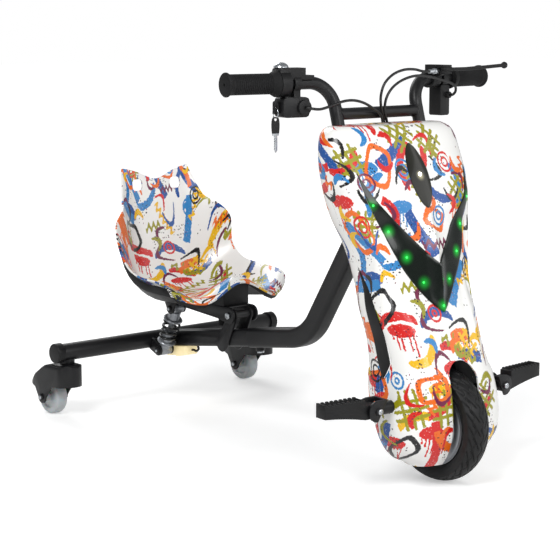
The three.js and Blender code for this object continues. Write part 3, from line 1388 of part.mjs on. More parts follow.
function seatGrid() {
  const place = ([x, y, z]) => new THREE.Vector3(x * seatWidth, seatFront + y * seatLength,
    seatLow + z * seatHeight);
  const rows = seatShares.map(({ centre, mid, edge }) => {
    const half = [place(mid), place(edge)];
    const other = half.map((point) => point.clone().setX(-point.x)).toReversed();
    const across = new THREE.CatmullRomCurve3([...other, place([0, ...centre]), ...half]);
    return across.getPoints(seatStepsAcross * 4);
  });
  const count = (seatShares.length - 1) * seatStepsAlong;
  const columns = rows[0]
    .map((_, c) => new THREE.CatmullRomCurve3(rows.map((row) => row[c])).getPoints(count));
  return columns[0].map((_, r) => columns.map((column) => column[r]));
}

// The grid moved along its own normals, upwards and towards the rider when the distance is positive
function raised(grid, distance) {
  const lastRow = grid.length - 1;
  const lastColumn = grid[0].length - 1;
  return grid.map((row, r) => row.map((point, c) => {
    const along = grid[Math.min(r + 1, lastRow)][c].clone().sub(grid[Math.max(r - 1, 0)][c]);
    const across = row[Math.min(c + 1, lastColumn)].clone().sub(row[Math.max(c - 1, 0)]);
    return point.clone().addScaledVector(across.cross(along).normalize(), distance);
  }));
}

function addSeat() {
  const grid = seatGrid();
  const harnessHeight = harnessTop - harnessBottom;
  const opening = roundedRectangle(harnessOuter - harnessInner, harnessHeight, harnessHeight / 3);
  const harness = [-1, 1].map((side) => slab(opening, seatLength, acrossY, 2)
    .translate([side * (harnessInner + harnessOuter) / 2, seatLength, (harnessTop + harnessBottom) / 2]));
  addPart(seatMount, 'seat_shell', cut(plateBetween(raised(grid, seatWall), grid), ...harness), whiteShell);
  const base = grid.slice(1, seatStepsAlong * 6 + 1).map((row) => row.slice(1, -1));
  const above = raised(grid, -seatGap);
  const high = grid.map((row) => row.map((point) => point.clone().setZ(point.z + seatHeight)));
  const space = plateBetween(high, above);
  const pad = cut(block([-armWidth / 2, cutOverrun * 3, armRadius + seatGap],
    [armWidth / 2, armLength + shockEyeWidth + cutOverrun * 2, seatHeight / 3]), space);
  const sidePad = cut(block([-shockSide - clevisHalf, shockUpperBack - clevisHalf, armRadius + seatGap],
    [-armWidth / 2, shockUpperBack + clevisHalf, seatHeight / 3]), space);
  const under = raised(base, -seatGap - panWall).map((row) => row.map((point) => point
    .setZ(point.z - panSideDepth * Math.abs(point.x) * 2 / seatWidth)));
  const armRoom = block([-shockSide - clevisHalf - seatGap, -armLength, -seatHeight],
    [armWidth / 2 + seatGap, armLength * 2, armRadius + seatGap]);
  const pan = cut(plateBetween(raised(base, -seatGap), under), armRoom);
  addPart(seatMount, 'seat_base_pan', joined(pan, pad, sidePad), blackPlastic);
}

// Shock absorber beside the rear tube, leaning forward from the axle bar to the seat
const shockFoot = [-shockSide, wheelbase - shockLowerAhead, barHeight - shockLowerDrop];
const shockHead = [-shockSide, pivotBack + shockUpperBack, pivotHeight - shockUpperDrop];
const shockForward = shockFoot[1] - shockHead[1];
const shockRise = shockHead[2] - shockFoot[2];
const shockLength = Math.hypot(shockForward, shockRise);
const shock = new THREE.Group();
shock.position.set(...shockFoot);
shock.rotation.x = Math.atan2(shockForward, shockRise);
scooter.add(shock);
const shockBodyTop = 45;
const shockRodBottom = 32;
const shockBoreBottom = 12;
const shroudBelowEye = 8;
const shockBore = shockBoltRadius + shockBushGive;
const lowerCollarTop = lowerCollarRise + collarThickness / 2;
const upperCollarBottom = shockLength - upperCollarDrop - collarThickness / 2;

function clevisBolt() {
  const reach = shockEyeWidth / 2 + seatGap + clevisWall;
  return joined(rod(shockBoltRadius, -reach, reach, alongX),
    rod(boltHeadRadius, reach - seatGap, reach + boltHeadHeight, alongX, 6),
    rod(boltHeadRadius, -reach - boltHeadHeight, -reach + seatGap, alongX, 6));
}

function clevisEars(outline) {
  const inside = shockEyeWidth / 2 + seatGap;
  return [-1, 1].map((side) => slab(outline, clevisWall, alongX, 5)
    .translate([side * (inside + clevisWall / 2), 0, 0]));
}

function addShockBrackets() {
  const outside = shockEyeWidth / 2 + seatGap + clevisWall;
  const lower = new THREE.Group();
  lower.position.set(...shockFoot);
  scooter.add(lower);
  const toBar = [shockLowerAhead, shockLowerDrop];
  const webFront = shockEyeRadius + bracketWall / 2;
  const web = block([-outside, webFront, -shockEyeRadius / 2],
    [outside, webFront + clevisWall, shockLowerDrop + clevisWall]);
  const ears = clevisEars(belt([0, 0], shockEyeRadius, toBar, barRadius - clevisWall));
  const saddle = rod(barRadius + seatGap, -barRadius * 2, barRadius * 2, alongX, fineSides)
    .translate([0, ...toBar]);
  addPart(lower, 'shock_lower_bracket', joined(cut(joined(...ears, web), saddle), clevisBolt()), framePaint);

  const upper = new THREE.Group();
  upper.position.set(-shockSide, shockUpperBack, -shockUpperDrop);
  seatMount.add(upper);
  const top = shockUpperDrop + armRadius;
  const side = new THREE.Shape();
  side.moveTo(-clevisHalf, top);
  side.lineTo(-clevisHalf, shockEyeRadius);
  side.lineTo(-shockEyeRadius, 0);
  side.absarc(0, 0, shockEyeRadius, Math.PI, Math.PI * 2);
  side.lineTo(clevisHalf, shockEyeRadius);
  side.lineTo(clevisHalf, top);
  const plate = block([-outside, -clevisHalf, top - clevisWall], [outside, clevisHalf, top]);
  addPart(upper, 'shock_upper_bracket', joined(...clevisEars(side), plate, clevisBolt()), framePaint);
}

function collarAt(middle) {
  const half = collarThickness / 2;
  return turned([[0, middle - half], [collarRadius - rimLip, middle - half], [collarRadius, middle],
    [collarRadius - rimLip, middle + half], [0, middle + half]], alongZ);
}

function addShock() {
  const boltBore = rod(shockBore, -shockEyeWidth, shockEyeWidth, alongX);
  const eye = rod(shockEyeRadius, -shockEyeWidth / 2, shockEyeWidth / 2, alongX, midSides);
  const bore = rod(shockRodRadius + runGap, shockBoreBottom, shockBodyTop + cutOverrun, alongZ);
  const body = rod(shockBodyRadius, shroudBelowEye, shockBodyTop, alongZ, midSides);
  addPart(shock, 'shock_body', cut(joined(eye, body, collarAt(lowerCollarRise)), bore, boltBore), greyPaint);
  const shroud = rod(shockBodyRadius, upperCollarBottom + collarThickness / 2, shockLength - shroudBelowEye,
    alongZ, midSides);
  const piston = rod(shockRodRadius, shockRodBottom, shockLength - shroudBelowEye, alongZ);
  addPart(shock, 'shock_piston', cut(joined(eye.translate([0, 0, shockLength]), shroud, piston,
    collarAt(shockLength - upperCollarDrop)), boltBore.translate([0, 0, shockLength])), greyPaint);
}

// The spring between the collars: one tube of wire whose ends run straight for a wire's thickness.
const curlSteps = 8;
const wireSides = 5;
const springRadius = (shockBodyRadius + collarRadius) / 2;

function springPoints() {
  const low = lowerCollarTop + springWire / 2 + seatGap;
  const high = upperCollarBottom - springWire / 2 - seatGap;
  const count = springCoils * curlSteps;
  const points = [];
  for (let i = 0; i <= count; i += 1) {
    const angle = (i / curlSteps) * Math.PI * 2;
    points.push(new THREE.Vector3(springRadius * Math.cos(angle), springRadius * Math.sin(angle),
      THREE.MathUtils.lerp(low, high, i / count)));
  }
  const tangent = (at) => new THREE.Vector3(-points[at].y, points[at].x, 0).normalize();
  points.unshift(points[0].clone().addScaledVector(tangent(0), -springWire));
  points.push(points.at(-1).clone().addScaledVector(tangent(points.length - 1), springWire));
  return points;
}

function leastSpringGap(points) {
  let least = Infinity;
  for (let i = 0; i < points.length; i += 1) {
    for (let j = i + curlSteps / 2; j < points.length; j += 1) {
      least = Math.min(least, points[i].distanceTo(points[j]) - springWire);
    }
  }
  return least;
}

function addSpring() {
  const points = springPoints();
  const rings = points.map((point, i) => {
    const before = points[Math.max(i - 1, 0)];
    const after = points[Math.min(i + 1, points.length - 1)];
    const tangent = after.clone().sub(before).normalize();
    const outward = new THREE.Vector3(point.x, point.y, 0).normalize();
    const up = tangent.clone().cross(outward).normalize();
    const side = up.clone().cross(tangent);
    return Array.from({ length: wireSides }, (_, s) => {
      const angle = (s / wireSides) * Math.PI * 2;
      return point.clone().addScaledVector(side, Math.cos(angle) * springWire / 2)
        .addScaledVector(up, Math.sin(angle) * springWire / 2);
    });
  });
  addPart(shock, 'shock_spring', lofted(rings), blackRubber);
  console.log(`least gap of the spring to itself: ${leastSpringGap(points).toFixed(2)} mm`);
}

// Floor lamp under the rear tube
const lampWidth = 34;
const lampLength = 70;
const lampHeight = 18;
const lampAhead = 42;
const lampCorner = 8;
const lampLensRadius = 14;
const lampLensDepth = 2;
const lampLeadReach = 20;
const levelEndShare = 0.3;
const dipStartShare = 0.7;

function addFloorLamp() {
  const top = -innerTubeWidth / 2 - seatGap;
  const bottom = top - lampHeight;
  const recess = rod(lampLensRadius + seatGap, bottom - cutOverrun, bottom + lampLensDepth, alongZ, midSides)
    .translate([0, -lampAhead, 0]);
  const housing = slab(roundedRectangle(lampWidth, lampLength, lampCorner), lampHeight, alongZ, 2)
    .translate([0, -lampAhead, (top + bottom) / 2]);
  addPart(rearTube, 'floor_lamp_housing', cut(housing, recess), blackPlastic);
  const lens = rod(lampLensRadius, bottom - lampLensDepth, bottom + lampLensDepth - seatGap,
    alongZ, midSides);
  addPart(rearTube, 'floor_lamp_lens', lens.translate([0, -lampAhead, 0]), warmLens);

  const start = lampAhead + lampLength / 2 + seatGap;
  const end = start + lampLeadReach;
  const low = top - lampHeight / 2;
  const dip = low - leadRadius;
  const route = [[0, -start, low], [0, -start - lampLeadReach * levelEndShare, low],
    [0, -start - lampLeadReach * dipStartShare, dip], [0, -end - leadRadius, low + leadRadius],
    [0, -end - leadRadius / 2, top - leadRadius], [0, -end - leadRadius / 2, top]];
  addPart(rearTube, 'floor_lamp_lead', lead(route, leadRadius, 8), blackPlastic);
}

addFrontWheel();
addWheelAxle();
addFork();
addHeadset('headset_lower', headTubeBottom, -1);
addHeadset('headset_upper', headTubeTop, 1);
addBridge();
addHandlebar();
addThrottleSide();
addKeyLock();
addKeys();
addBrakeSide();
addSwitch();
addFairing();
addCovers();
addElectrics();
addPeg(1, 'left');
addPeg(-1, 'right');
addLead('throttle_lead', throttleLeadRoute);
addLead('brake_cable', brakeCableRoute);
addLead('switch_lead', switchLeadRoute);
addFrontFrame();
addRearTube();
addRearBar();
addSeatBracket();
addSeatArm();
addSeat();
addShockBrackets();
addShock();
addSpring();
addFloorLamp();
addCaster(1, 'left');
addCaster(-1, 'right');

export default scooter;
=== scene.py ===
"""Looks of a tricycle drifter scooter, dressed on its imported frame.

Places are metres in the row frame: +Z up, -Y the way the rider faces, -X the rider's right. The tables are in
millimetres from the front tyre's contact with the ground, and `at` turns them into the row frame.
"""

import json
import logging
import math
from collections.abc import Callable, Iterator, Sequence
from dataclasses import dataclass, field
from enum import Enum

import bpy
import numpy as np
from mathutils import Matrix, Vector

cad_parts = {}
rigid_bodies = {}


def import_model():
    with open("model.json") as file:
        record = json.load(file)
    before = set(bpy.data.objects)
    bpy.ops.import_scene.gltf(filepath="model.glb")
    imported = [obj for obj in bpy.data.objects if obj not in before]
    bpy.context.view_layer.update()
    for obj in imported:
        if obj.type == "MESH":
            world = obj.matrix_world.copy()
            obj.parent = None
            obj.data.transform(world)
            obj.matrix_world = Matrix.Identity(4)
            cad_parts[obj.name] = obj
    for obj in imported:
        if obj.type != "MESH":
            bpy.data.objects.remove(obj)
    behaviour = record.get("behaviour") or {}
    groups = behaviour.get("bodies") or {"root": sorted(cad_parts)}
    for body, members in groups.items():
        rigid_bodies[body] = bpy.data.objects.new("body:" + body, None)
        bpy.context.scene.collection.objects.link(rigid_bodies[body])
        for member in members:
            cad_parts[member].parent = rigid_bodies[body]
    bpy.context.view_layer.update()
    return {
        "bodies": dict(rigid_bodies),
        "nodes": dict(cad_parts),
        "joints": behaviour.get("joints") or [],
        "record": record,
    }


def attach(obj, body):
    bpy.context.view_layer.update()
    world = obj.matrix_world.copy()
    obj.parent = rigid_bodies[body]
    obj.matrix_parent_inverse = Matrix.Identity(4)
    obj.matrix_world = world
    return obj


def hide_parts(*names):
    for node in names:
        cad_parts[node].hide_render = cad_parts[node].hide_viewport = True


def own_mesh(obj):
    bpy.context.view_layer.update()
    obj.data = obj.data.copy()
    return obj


LOG = logging.getLogger("drifter")
Object = bpy.types.Object
Material = bpy.types.Material
Socket = bpy.types.NodeSocket
Tree = bpy.types.NodeTree
Pair = tuple[float, float]
Place = tuple[float, float, float]

MM = 0.001
# Sizes in millimetres. The wheel frame starts at the tyre's contact, this far ahead of the row frame's start.
SHIFT = 392.5
RAKE = math.radians(16)
WHEEL_RADIUS = 100.0
FORK_OFFSET = 12.0
WHEELBASE = 784.0
HALF_WIDTH = 308.0
# Room all round a piece that is let into another.
FIT_GAP = 0.3
PEG_SWEEP = math.radians(4.6)
SIDES = ((-1, "right"), (1, "left"))
AHEAD = Vector((0, -1, 0))
# Points closer than this, in metres, are one.
MERGE = 1e-6


def at(x: float, y: float, z: float) -> Vector:
    """Turn millimetres from the tyre's contact into the row frame."""
    return Vector((x * MM, (y - SHIFT) * MM, z * MM))


def axis_depth(z: float) -> float:
    """How far back the steering axis is at a height, in millimetres."""
    return FORK_OFFSET + (z - WHEEL_RADIUS) * math.tan(RAKE)


def along_axis(z: float) -> float:
    """Distance up the steering axis at which it is at a height."""
    return (z - WHEEL_RADIUS) / math.cos(RAKE)


def steered(x: float, v: float, u: float) -> Vector:
    """Turn the steering's own measures (sideways, back, up the axis) into millimetres of the wheel frame."""
    return Vector((x, FORK_OFFSET + v * math.cos(RAKE) + u * math.sin(RAKE),
                   WHEEL_RADIUS - v * math.sin(RAKE) + u * math.cos(RAKE)))


def on_steering(x: float, v: float, u: float) -> Vector:
    """Turn the steering's own measures into the row frame."""
    return at(*steered(x, v, u))


def linear(code: int) -> tuple[float, float, float, float]:
    """Turn an sRGB hex value into a linear colour.

    Args:
        code: The colour as 0xRRGGBB.

    Returns:
        Linear red, green, blue and an alpha of one.
    """
    parts = [((code >> shift) & 255) / 255 for shift in (16, 8, 0)]
    straight = [c / 12.92 if c <= 0.04045 else ((c + 0.055) / 1.055) ** 2.4 for c in parts]
    return (*straight, 1.0)


# Curves ---------------------------------------------------------------------------------------------------


def table_curve(rows: Sequence[Sequence[float]], column: int, place: float) -> float:
    """Read a smooth curve through one column of a table.

    Args:
        rows: The table, its first column rising.
        column: The column to read.
        place: Where along the first column.

    Returns:
        The value there.
    """
    i = 0
    while i < len(rows) - 2 and rows[i + 1][0] < place:
        i += 1
    before, after = rows[max(i - 1, 0)], rows[min(i + 2, len(rows) - 1)]
    start, stop = rows[i], rows[i + 1]
    span = stop[0] - start[0]
    t = min(max((place - start[0]) / span, 0), 1)
    slope_a = (stop[column] - before[column]) / (stop[0] - before[0]) * span
    slope_b = (after[column] - start[column]) / (after[0] - start[0]) * span
    t2, t3 = t * t, t * t * t
    return ((2 * t3 - 3 * t2 + 1) * start[column] + (t3 - 2 * t2 + t) * slope_a
            + (3 * t2 - 2 * t3) * stop[column] + (t3 - t2) * slope_b)


def smooth_point(points: Sequence[Vector], t: float) -> Vector:
    """Point of a centripetal curve through points.

    Args:
        points: The points passed through.
        t: From 0 at the first point to 1 at the last.

    Returns:
        The point.
    """
    last = len(points) - 1
    p = last * t
    i = min(int(p), last - 1)
    w = p - i
    p0 = points[i - 1] if i > 0 else points[0] * 2 - points[1]
    p1, p2 = points[i], points[i + 1]
    p3 = points[i + 2] if i + 2 <= last else points[last] * 2 - points[last - 1]
    dt = [max((a - b).length ** 0.5, 1e-6) for a, b in ((p0, p1), (p1, p2), (p2, p3))]
    t1 = ((p1 - p0) / dt[0] - (p2 - p0) / (dt[0] + dt[1]) + (p2 - p1) / dt[1]) * dt[1]
    t2 = ((p2 - p1) / dt[1] - (p3 - p1) / (dt[1] + dt[2]) + (p3 - p2) / dt[2]) * dt[1]
    return p1 + t1 * w + (p1 * -3 + p2 * 3 - t1 * 2 - t2) * w ** 2 + (p1 * 2 - p2 * 2 + t1 + t2) * w ** 3


def ramp(value: float, low: float, high: float) -> float:
    """Rise smoothly from 0 to 1 between two values."""
    t = min(max((value - low) / (high - low), 0), 1)
    return t * t * (3 - 2 * t)


def bezier(points: Sequence[Sequence[float]], t: float) -> Pair:
    """Find a point of a cubic Bezier curve in a plane.

    Args:
        points: The curve's four points.
        t: From 0 at the first point to 1 at the last.

    Returns:
        The point.
    """
    s = 1 - t
    shares = (s ** 3, 3 * s * s * t, 3 * s * t * t, t ** 3)
    x, y = (sum(share * point[axis] for share, point in zip(shares, points)) for axis in (0, 1))
    return x, y


def bent_line(corners: Sequence[Vector], radius: float, steps: int) -> list[Vector]:
    """Stations along straight runs joined by round bends.

    Args:
        corners: Start, the bends' corners, end.
        radius: The bends' radius.
        steps: Stations in each bend.

    Returns:
        The stations.
    """
    stations = [corners[0].copy()]
    for i in range(1, len(corners) - 1):
        back = (corners[i - 1] - corners[i]).normalized()
        ahead = (corners[i + 1] - corners[i]).normalized()
        half = back.angle(ahead) / 2
        centre = corners[i] + (back + ahead).normalized() * (radius / math.sin(half))
        start = corners[i] + back * (radius / math.tan(half)) - centre
        stop = corners[i] + ahead * (radius / math.tan(half)) - centre
        axis = start.cross(stop).normalized()
        for step in range(steps + 1):
            stations.append(Matrix.Rotation((math.pi - half * 2) * step / steps, 3, axis) @ start + centre)
    stations.append(corners[-1].copy())
    return stations


# Bench: modelling -----------------------------------------------------------------------------------------


def deselect() -> None:
    """Take the selection off everything."""
    for thing in bpy.context.selected_objects:
        thing.select_set(False)


def pick(obj: Object) -> None:
    """Make one object the only selected one and the active one."""
    deselect()
    obj.select_set(True)
    bpy.context.view_layer.objects.active = obj


def in_edit(obj: Object, *steps: Callable[[], object]) -> None:
    """Run edit-mode steps on the whole of one object's mesh.

    Args:
        obj: The object.
        steps: Calls made one after another with everything selected.
    """
    pick(obj)
    bpy.ops.object.mode_set(mode="EDIT")
    for step in steps:
        bpy.ops.mesh.select_all(action="SELECT")
        step()
    bpy.ops.object.mode_set(mode="OBJECT")


def outward(obj: Object) -> None:
    """Merge doubles and point a closed body's faces outwards."""
    in_edit(obj, lambda: bpy.ops.mesh.remove_doubles(threshold=MERGE),
            lambda: bpy.ops.mesh.normals_make_consistent(inside=False))


def placed_grid(name: str, across: int, along: int, place: Callable[[float, float], Vector],
                size: Pair = (1.0, 1.0),
                middle: Pair = (0.5, 0.0)) -> Object:
    """Lay a grid of faces over a surface.

    Args:
        name: The object's name.
        across: Faces across.
        along: Faces along.
        place: Gives the point for shares (across, along) from 0 to 1.
        size: What the UV map spans, in metres.
        middle: The shares at which the UV map is zero.

    Returns:
        The object.
    """
    deselect()
    bpy.ops.mesh.primitive_grid_add(x_subdivisions=across, y_subdivisions=along, size=1, calc_uvs=True)
    obj = bpy.context.object
    obj.name = obj.data.name = name
    mesh = obj.data
    for vertex in mesh.vertices:
        vertex.co = place(vertex.co.x + 0.5, vertex.co.y + 0.5)
    for loop in mesh.uv_layers[0].data:
        loop.uv = ((loop.uv[0] - middle[0]) * size[0], (loop.uv[1] - middle[1]) * size[1])
    mesh.update()
    return obj


def swept(name: str, stations: Sequence[Vector], section: Sequence[Pair],
          closed: bool = False, up: Vector | None = None) -> Object:
    """Sweep a closed section along stations.

    Args:
        name: The object's name.
        stations: The centre line.
        section: The section's points, sideways and up, in millimetres.
        closed: Whether the line closes on itself.
        up: The section's first upward direction.

    Returns:
        The object, its ends filled unless it is closed.
    """
    count = len(stations)
    frames = []
    normal = up
    for i in range(count):
        before = stations[i - 1] if i > 0 or closed else stations[0]
        after = stations[(i + 1) % count] if i < count - 1 or closed else stations[-1]
        tangent = (after - before).normalized()
        if normal is None:
            normal = tangent.orthogonal()
        normal = (normal - tangent * normal.dot(tangent)).normalized()
        frames.append((stations[i], normal.cross(tangent), normal))
    rows = count if closed else count - 1

    def place(u: float, w: float) -> Vector:
        centre, side, rise = frames[round(w * rows) % count]
        x, y = section[round(u * len(section)) % len(section)]
        return centre + side * (x * MM) + rise * (y * MM)

    obj = placed_grid(name, len(section), rows, place)
    outward(obj)
    if not closed:
        in_edit(obj, lambda: bpy.ops.mesh.fill_holes(sides=0),
                lambda: bpy.ops.mesh.normals_make_consistent(inside=False))
    return obj


def ring(radius: float, count: int) -> list[Pair]:
    """Points of a round section."""
    angles = [math.tau * i / count for i in range(count)]
    return [(radius * math.cos(angle), radius * math.sin(angle)) for angle in angles]


def rounded_box(width: float, height: float, corner: float, steps: int = 6) -> list[Pair]:
    """Draw a rectangle with round corners about its middle.

    Args:
        width: Its width.
        height: Its height.
        corner: The corners' radius.
        steps: Steps round each corner.

    Returns:
        Its points.
    """
    points = []
    for quarter, (sx, sy) in enumerate(((1, 1), (-1, 1), (-1, -1), (1, -1))):
        for step in range(steps + 1):
            angle = (quarter + step / steps) * math.pi / 2
            points.append((sx * (width / 2 - corner) + corner * math.cos(angle),
                           sy * (height / 2 - corner) + corner * math.sin(angle)))
    return points


def arched(half: float, foot: float, spring: float, rise: float, steps: int) -> list[Pair]:
    """Draw a doorway: straight sides under an arch.

    Args:
        half: Half its width.
        foot: The height of its foot.
        spring: The height at which the arch starts.
        rise: The arch's rise.
        steps: Points along the arch.

    Returns:
        Its points.
    """
    arch = [(half * math.cos(a), spring + rise * math.sin(a)) for a in np.linspace(0, math.pi, steps)]
    return [(-half, foot), (half, foot), *arch]


def rod_profile(radius: float, start: float, stop: float) -> list[Pair]:
    """The profile of a plain round rod."""
    return [(0, start), (radius, start), (radius, stop), (0, stop)]


def both_halves(half: Sequence[Pair],
                between: Sequence[Pair] = ()) -> list[Pair]:
    """Close a wheel's profile with the mirror image of its half.

    Args:
        half: The half on the axis' low side, from the bore out.
        between: What joins the two halves.

    Returns:
        The closed profile.
    """
    return [*half, *between, *((radius, -along) for radius, along in reversed(half)), half[0]]


def turned(name: str, profile: Sequence[Pair], centre: Vector, axis: Vector,
           steps: int = 64) -> Object:
    """Turn a profile about an axis.

    Args:
        name: The object's name.
        profile: Radius and place along the axis, in millimetres; the first and last may lie on the axis.
        centre: Where the axis' zero is.
        axis: The direction of the axis.
        steps: Faces round it.

    Returns:
        The closed object.
    """
    axis = axis.normalized()
    out = axis.orthogonal().normalized()
    last = len(profile) - 1

    def place(u: float, w: float) -> Vector:
        radius, along = profile[round(w * last)]
        return centre + axis * (along * MM) + Matrix.Rotation(math.tau * u, 3, axis) @ out * (radius * MM)

    obj = placed_grid(name, steps, last, place)
    outward(obj)
    return obj


def prism(name: str, outline: Sequence[Pair],
          place: Callable[[float, float, int], Vector]) -> Object:
    """Draw an outline out into a solid.

    Args:
        name: The object's name.
        outline: The outline's points.
        place: Gives the place of an outline's point on the near (0) or far (1) face.

    Returns:
        The closed object.
    """
    deselect()
    bpy.ops.mesh.primitive_circle_add(vertices=len(outline), radius=1, fill_type="NGON")
    obj = bpy.context.object
    obj.name = obj.data.name = name
    for vertex, (a, b) in zip(obj.data.vertices, outline):
        vertex.co = place(a, b, 0)
    pick(obj)
    bpy.ops.object.mode_set(mode="EDIT")
    bpy.ops.mesh.select_all(action="SELECT")
    bpy.ops.mesh.extrude_region_move(TRANSFORM_OT_translate={"value": (0, 0, 0)})
    bpy.ops.object.mode_set(mode="OBJECT")
    for index, (a, b) in enumerate(outline):
        obj.data.vertices[len(outline) + index].co = place(a, b, 1)
    obj.data.update()
    in_edit(obj, lambda: bpy.ops.mesh.normals_make_consistent(inside=False))
    return obj


def use(obj: Object, kind: str, **settings: object) -> None:
    """Apply one modifier to an object.

    Args:
        obj: The object.
        kind: The modifier's type.
        settings: Its settings.
    """
    modifier = obj.modifiers.new(kind.title(), kind)
    for key, value in settings.items():
        setattr(modifier, key, value)
    pick(obj)
    bpy.ops.object.modifier_apply(modifier=modifier.name)


def scrap(obj: Object) -> None:
    """Remove an object and its mesh."""
    mesh = obj.data
    bpy.data.objects.remove(obj)
    bpy.data.meshes.remove(mesh)


def twin(obj: Object, name: str) -> Object:
    """Copy an object.

    Args:
        obj: The object.
        name: The copy's name.

    Returns:
        The copy, with its own mesh.
    """
    copy = obj.copy()
    copy.data = obj.data.copy()
    copy.name = copy.data.name = name
    bpy.context.scene.collection.objects.link(copy)
    return copy


def carve(obj: Object, *tools: Object, keep: str = "DIFFERENCE") -> None:
    """Cut tools out of an object, or join or cross it with them, and remove the tools.

    Args:
        obj: The object.
        tools: The tools.
        keep: What the Boolean keeps.
    """
    for tool in tools:
        use(obj, "BOOLEAN", operation=keep, solver="EXACT", object=tool)
        scrap(tool)


def ease(obj: Object, width_mm: float, past: float, segments: int = 2) -> None:
    """Bevel an object's edges that turn by more than some degrees."""
    use(obj, "BEVEL", width=width_mm * MM, segments=segments, limit_method="ANGLE",
        angle_limit=math.radians(past))


def smooth(obj: Object, degrees: float = 35) -> None:
    """Shade an object smooth but for its sharp edges."""
    pick(obj)
    bpy.ops.object.shade_smooth_by_angle(angle=math.radians(degrees))


def face_outwards(obj: Object, way: Vector | None = None) -> None:
    """Merge an open sheet's doubles and face it outwards.

    Args:
        obj: The sheet.
        way: The outside's direction, or None for away from the upright line through the sheet's middle.
    """
    in_edit(obj, lambda: bpy.ops.mesh.remove_doubles(threshold=MERGE))
    mesh = obj.data
    mesh.update()
    middle = sum((face.center for face in mesh.polygons), Vector()) / len(mesh.polygons)
    score = 0.0
    for face in mesh.polygons:
        aim = way if way is not None else (face.center - middle) * Vector((1, 1, 0))
        score += face.normal.dot(aim) * face.area
    if score < 0:
        in_edit(obj, lambda: bpy.ops.mesh.flip_normals())


def grown(outline: Sequence[Pair], distance: float) -> list[Pair]:
    """Move each point of a closed outline out along its own normal.

    Args:
        outline: The outline's points.
        distance: How far.

    Returns:
        The moved points.
    """
    area = sum(a[0] * b[1] - b[0] * a[1] for a, b in zip(outline, [*outline[1:], outline[0]]))
    way = distance if area > 0 else -distance
    moved = []
    for i, point in enumerate(outline):
        before, after = Vector(outline[i - 1]), Vector(outline[(i + 1) % len(outline)])
        here = Vector(point)
        a, b = (here - before).normalized(), (after - here).normalized()
        normal = Vector((a.y + b.y, -a.x - b.x)).normalized()
        # A sharp corner moves at most about three times as far as a straight edge.
        moved.append(tuple(here + normal * (way / max(normal.dot(Vector((a.y, -a.x))), 0.35))))
    return moved


# Bench: finishes ------------------------------------------------------------------------------------------


def add_node(tree: Tree, kind: str, inputs: dict | None = None,
             **settings: object) -> bpy.types.Node:
    """Add a node to a tree.

    Args:
        tree: The material's nodes.
        kind: The node's type.
        inputs: Sockets by name or number, each with a value, or a socket or a node to link from.
        settings: The node's own settings.

    Returns:
        The node.
    """
    node = tree.nodes.new(kind)
    for key, value in settings.items():
        setattr(node, key, value)
    for key, value in (inputs or {}).items():
        if isinstance(value, bpy.types.Node):
            value = value.outputs[0]
        if isinstance(value, Socket):
            tree.links.new(value, node.inputs[key])
        else:
            node.inputs[key].default_value = value
    return node


def blank(name: str) -> tuple[Material, Tree]:
    """Start a material.

    Args:
        name: Its name.

    Returns:
        The material and its empty tree.
    """
    material = bpy.data.materials.new(name)
    material.use_nodes = True
    material.node_tree.nodes.clear()
    return material, material.node_tree


def surfaced(tree: Tree, **inputs: object) -> None:
    """End a tree in a shader with these sockets set, underscores standing for spaces."""
    named = {key.replace("_", " "): value for key, value in inputs.items()}
    add_node(tree, "ShaderNodeOutputMaterial",
             {"Surface": add_node(tree, "ShaderNodeBsdfPrincipled", named)})


def clouded(tree: Tree, cloud: bpy.types.Node, first: int, second: int) -> Socket:
    """Drift between two colours with a cloud."""
    return add_node(tree, "ShaderNodeMix", {0: cloud, 6: linear(first), 7: linear(second)},
                    data_type="RGBA").outputs[2]


@dataclass(frozen=True)
class Coating:
    """A moulded, painted or metal surface: one colour with drift, grain and uneven gloss.

    Grain and drift are given by their width in millimetres, and grain is also the bump's strength.
    """

    name: str
    colour: int
    other: int
    roughness: float
    metallic: float = 0.0
    grain_mm: float = 0.6
    grain: float = 0.15
    drift_mm: float = 45.0
    coat: float = 0.0
    shine: float = 0.5

    def build(self) -> Material:
        """Make the material.

        Returns:
            The material.
        """
        material, tree = blank(self.name)
        place = add_node(tree, "ShaderNodeTexCoord").outputs["Object"]
        drift, grain = (
            add_node(tree, "ShaderNodeTexNoise", {
                "Vector": place, "Scale": 1 / (width * MM), "Detail": detail})
            for width, detail in ((self.drift_mm, 3.0), (self.grain_mm, 2.0)))
        rough = add_node(tree, "ShaderNodeMapRange", {
            "Value": drift, "From Min": 0.3, "From Max": 0.7,
            "To Min": self.roughness * 0.86, "To Max": self.roughness * 1.14})
        bump = add_node(tree, "ShaderNodeBump", {
            "Strength": self.grain, "Distance": 0.3 * MM, "Height": grain})
        surfaced(tree, Base_Color=clouded(tree, drift, self.colour, self.other), Roughness=rough,
                 Metallic=self.metallic, Normal=bump, Coat_Weight=self.coat, Specular_IOR_Level=self.shine)
        return material


# How far a place is from a mark's line is worked out in rows: a name, a sum and what it works on. x and y
# run along and across the turned mark, u and v across and up the unturned one; other names are its sizes.
FROM_MIDDLE = (("x2", "MULTIPLY", "x", "x"), ("y2", "MULTIPLY", "y", "y"))
TO_END = (("out", "ABSOLUTE", "x"), ("end", "MULTIPLY", "grow", "reach"), ("past", "SUBTRACT", "out", "end"))
ROUND_END = (*TO_END, ("over", "MAXIMUM", "past", 0.0), ("over2", "MULTIPLY", "over", "over"),
             ("off2", "MULTIPLY", "off", "off"), ("sum", "ADD", "over2", "off2"), ("distance", "SQRT", "sum"))


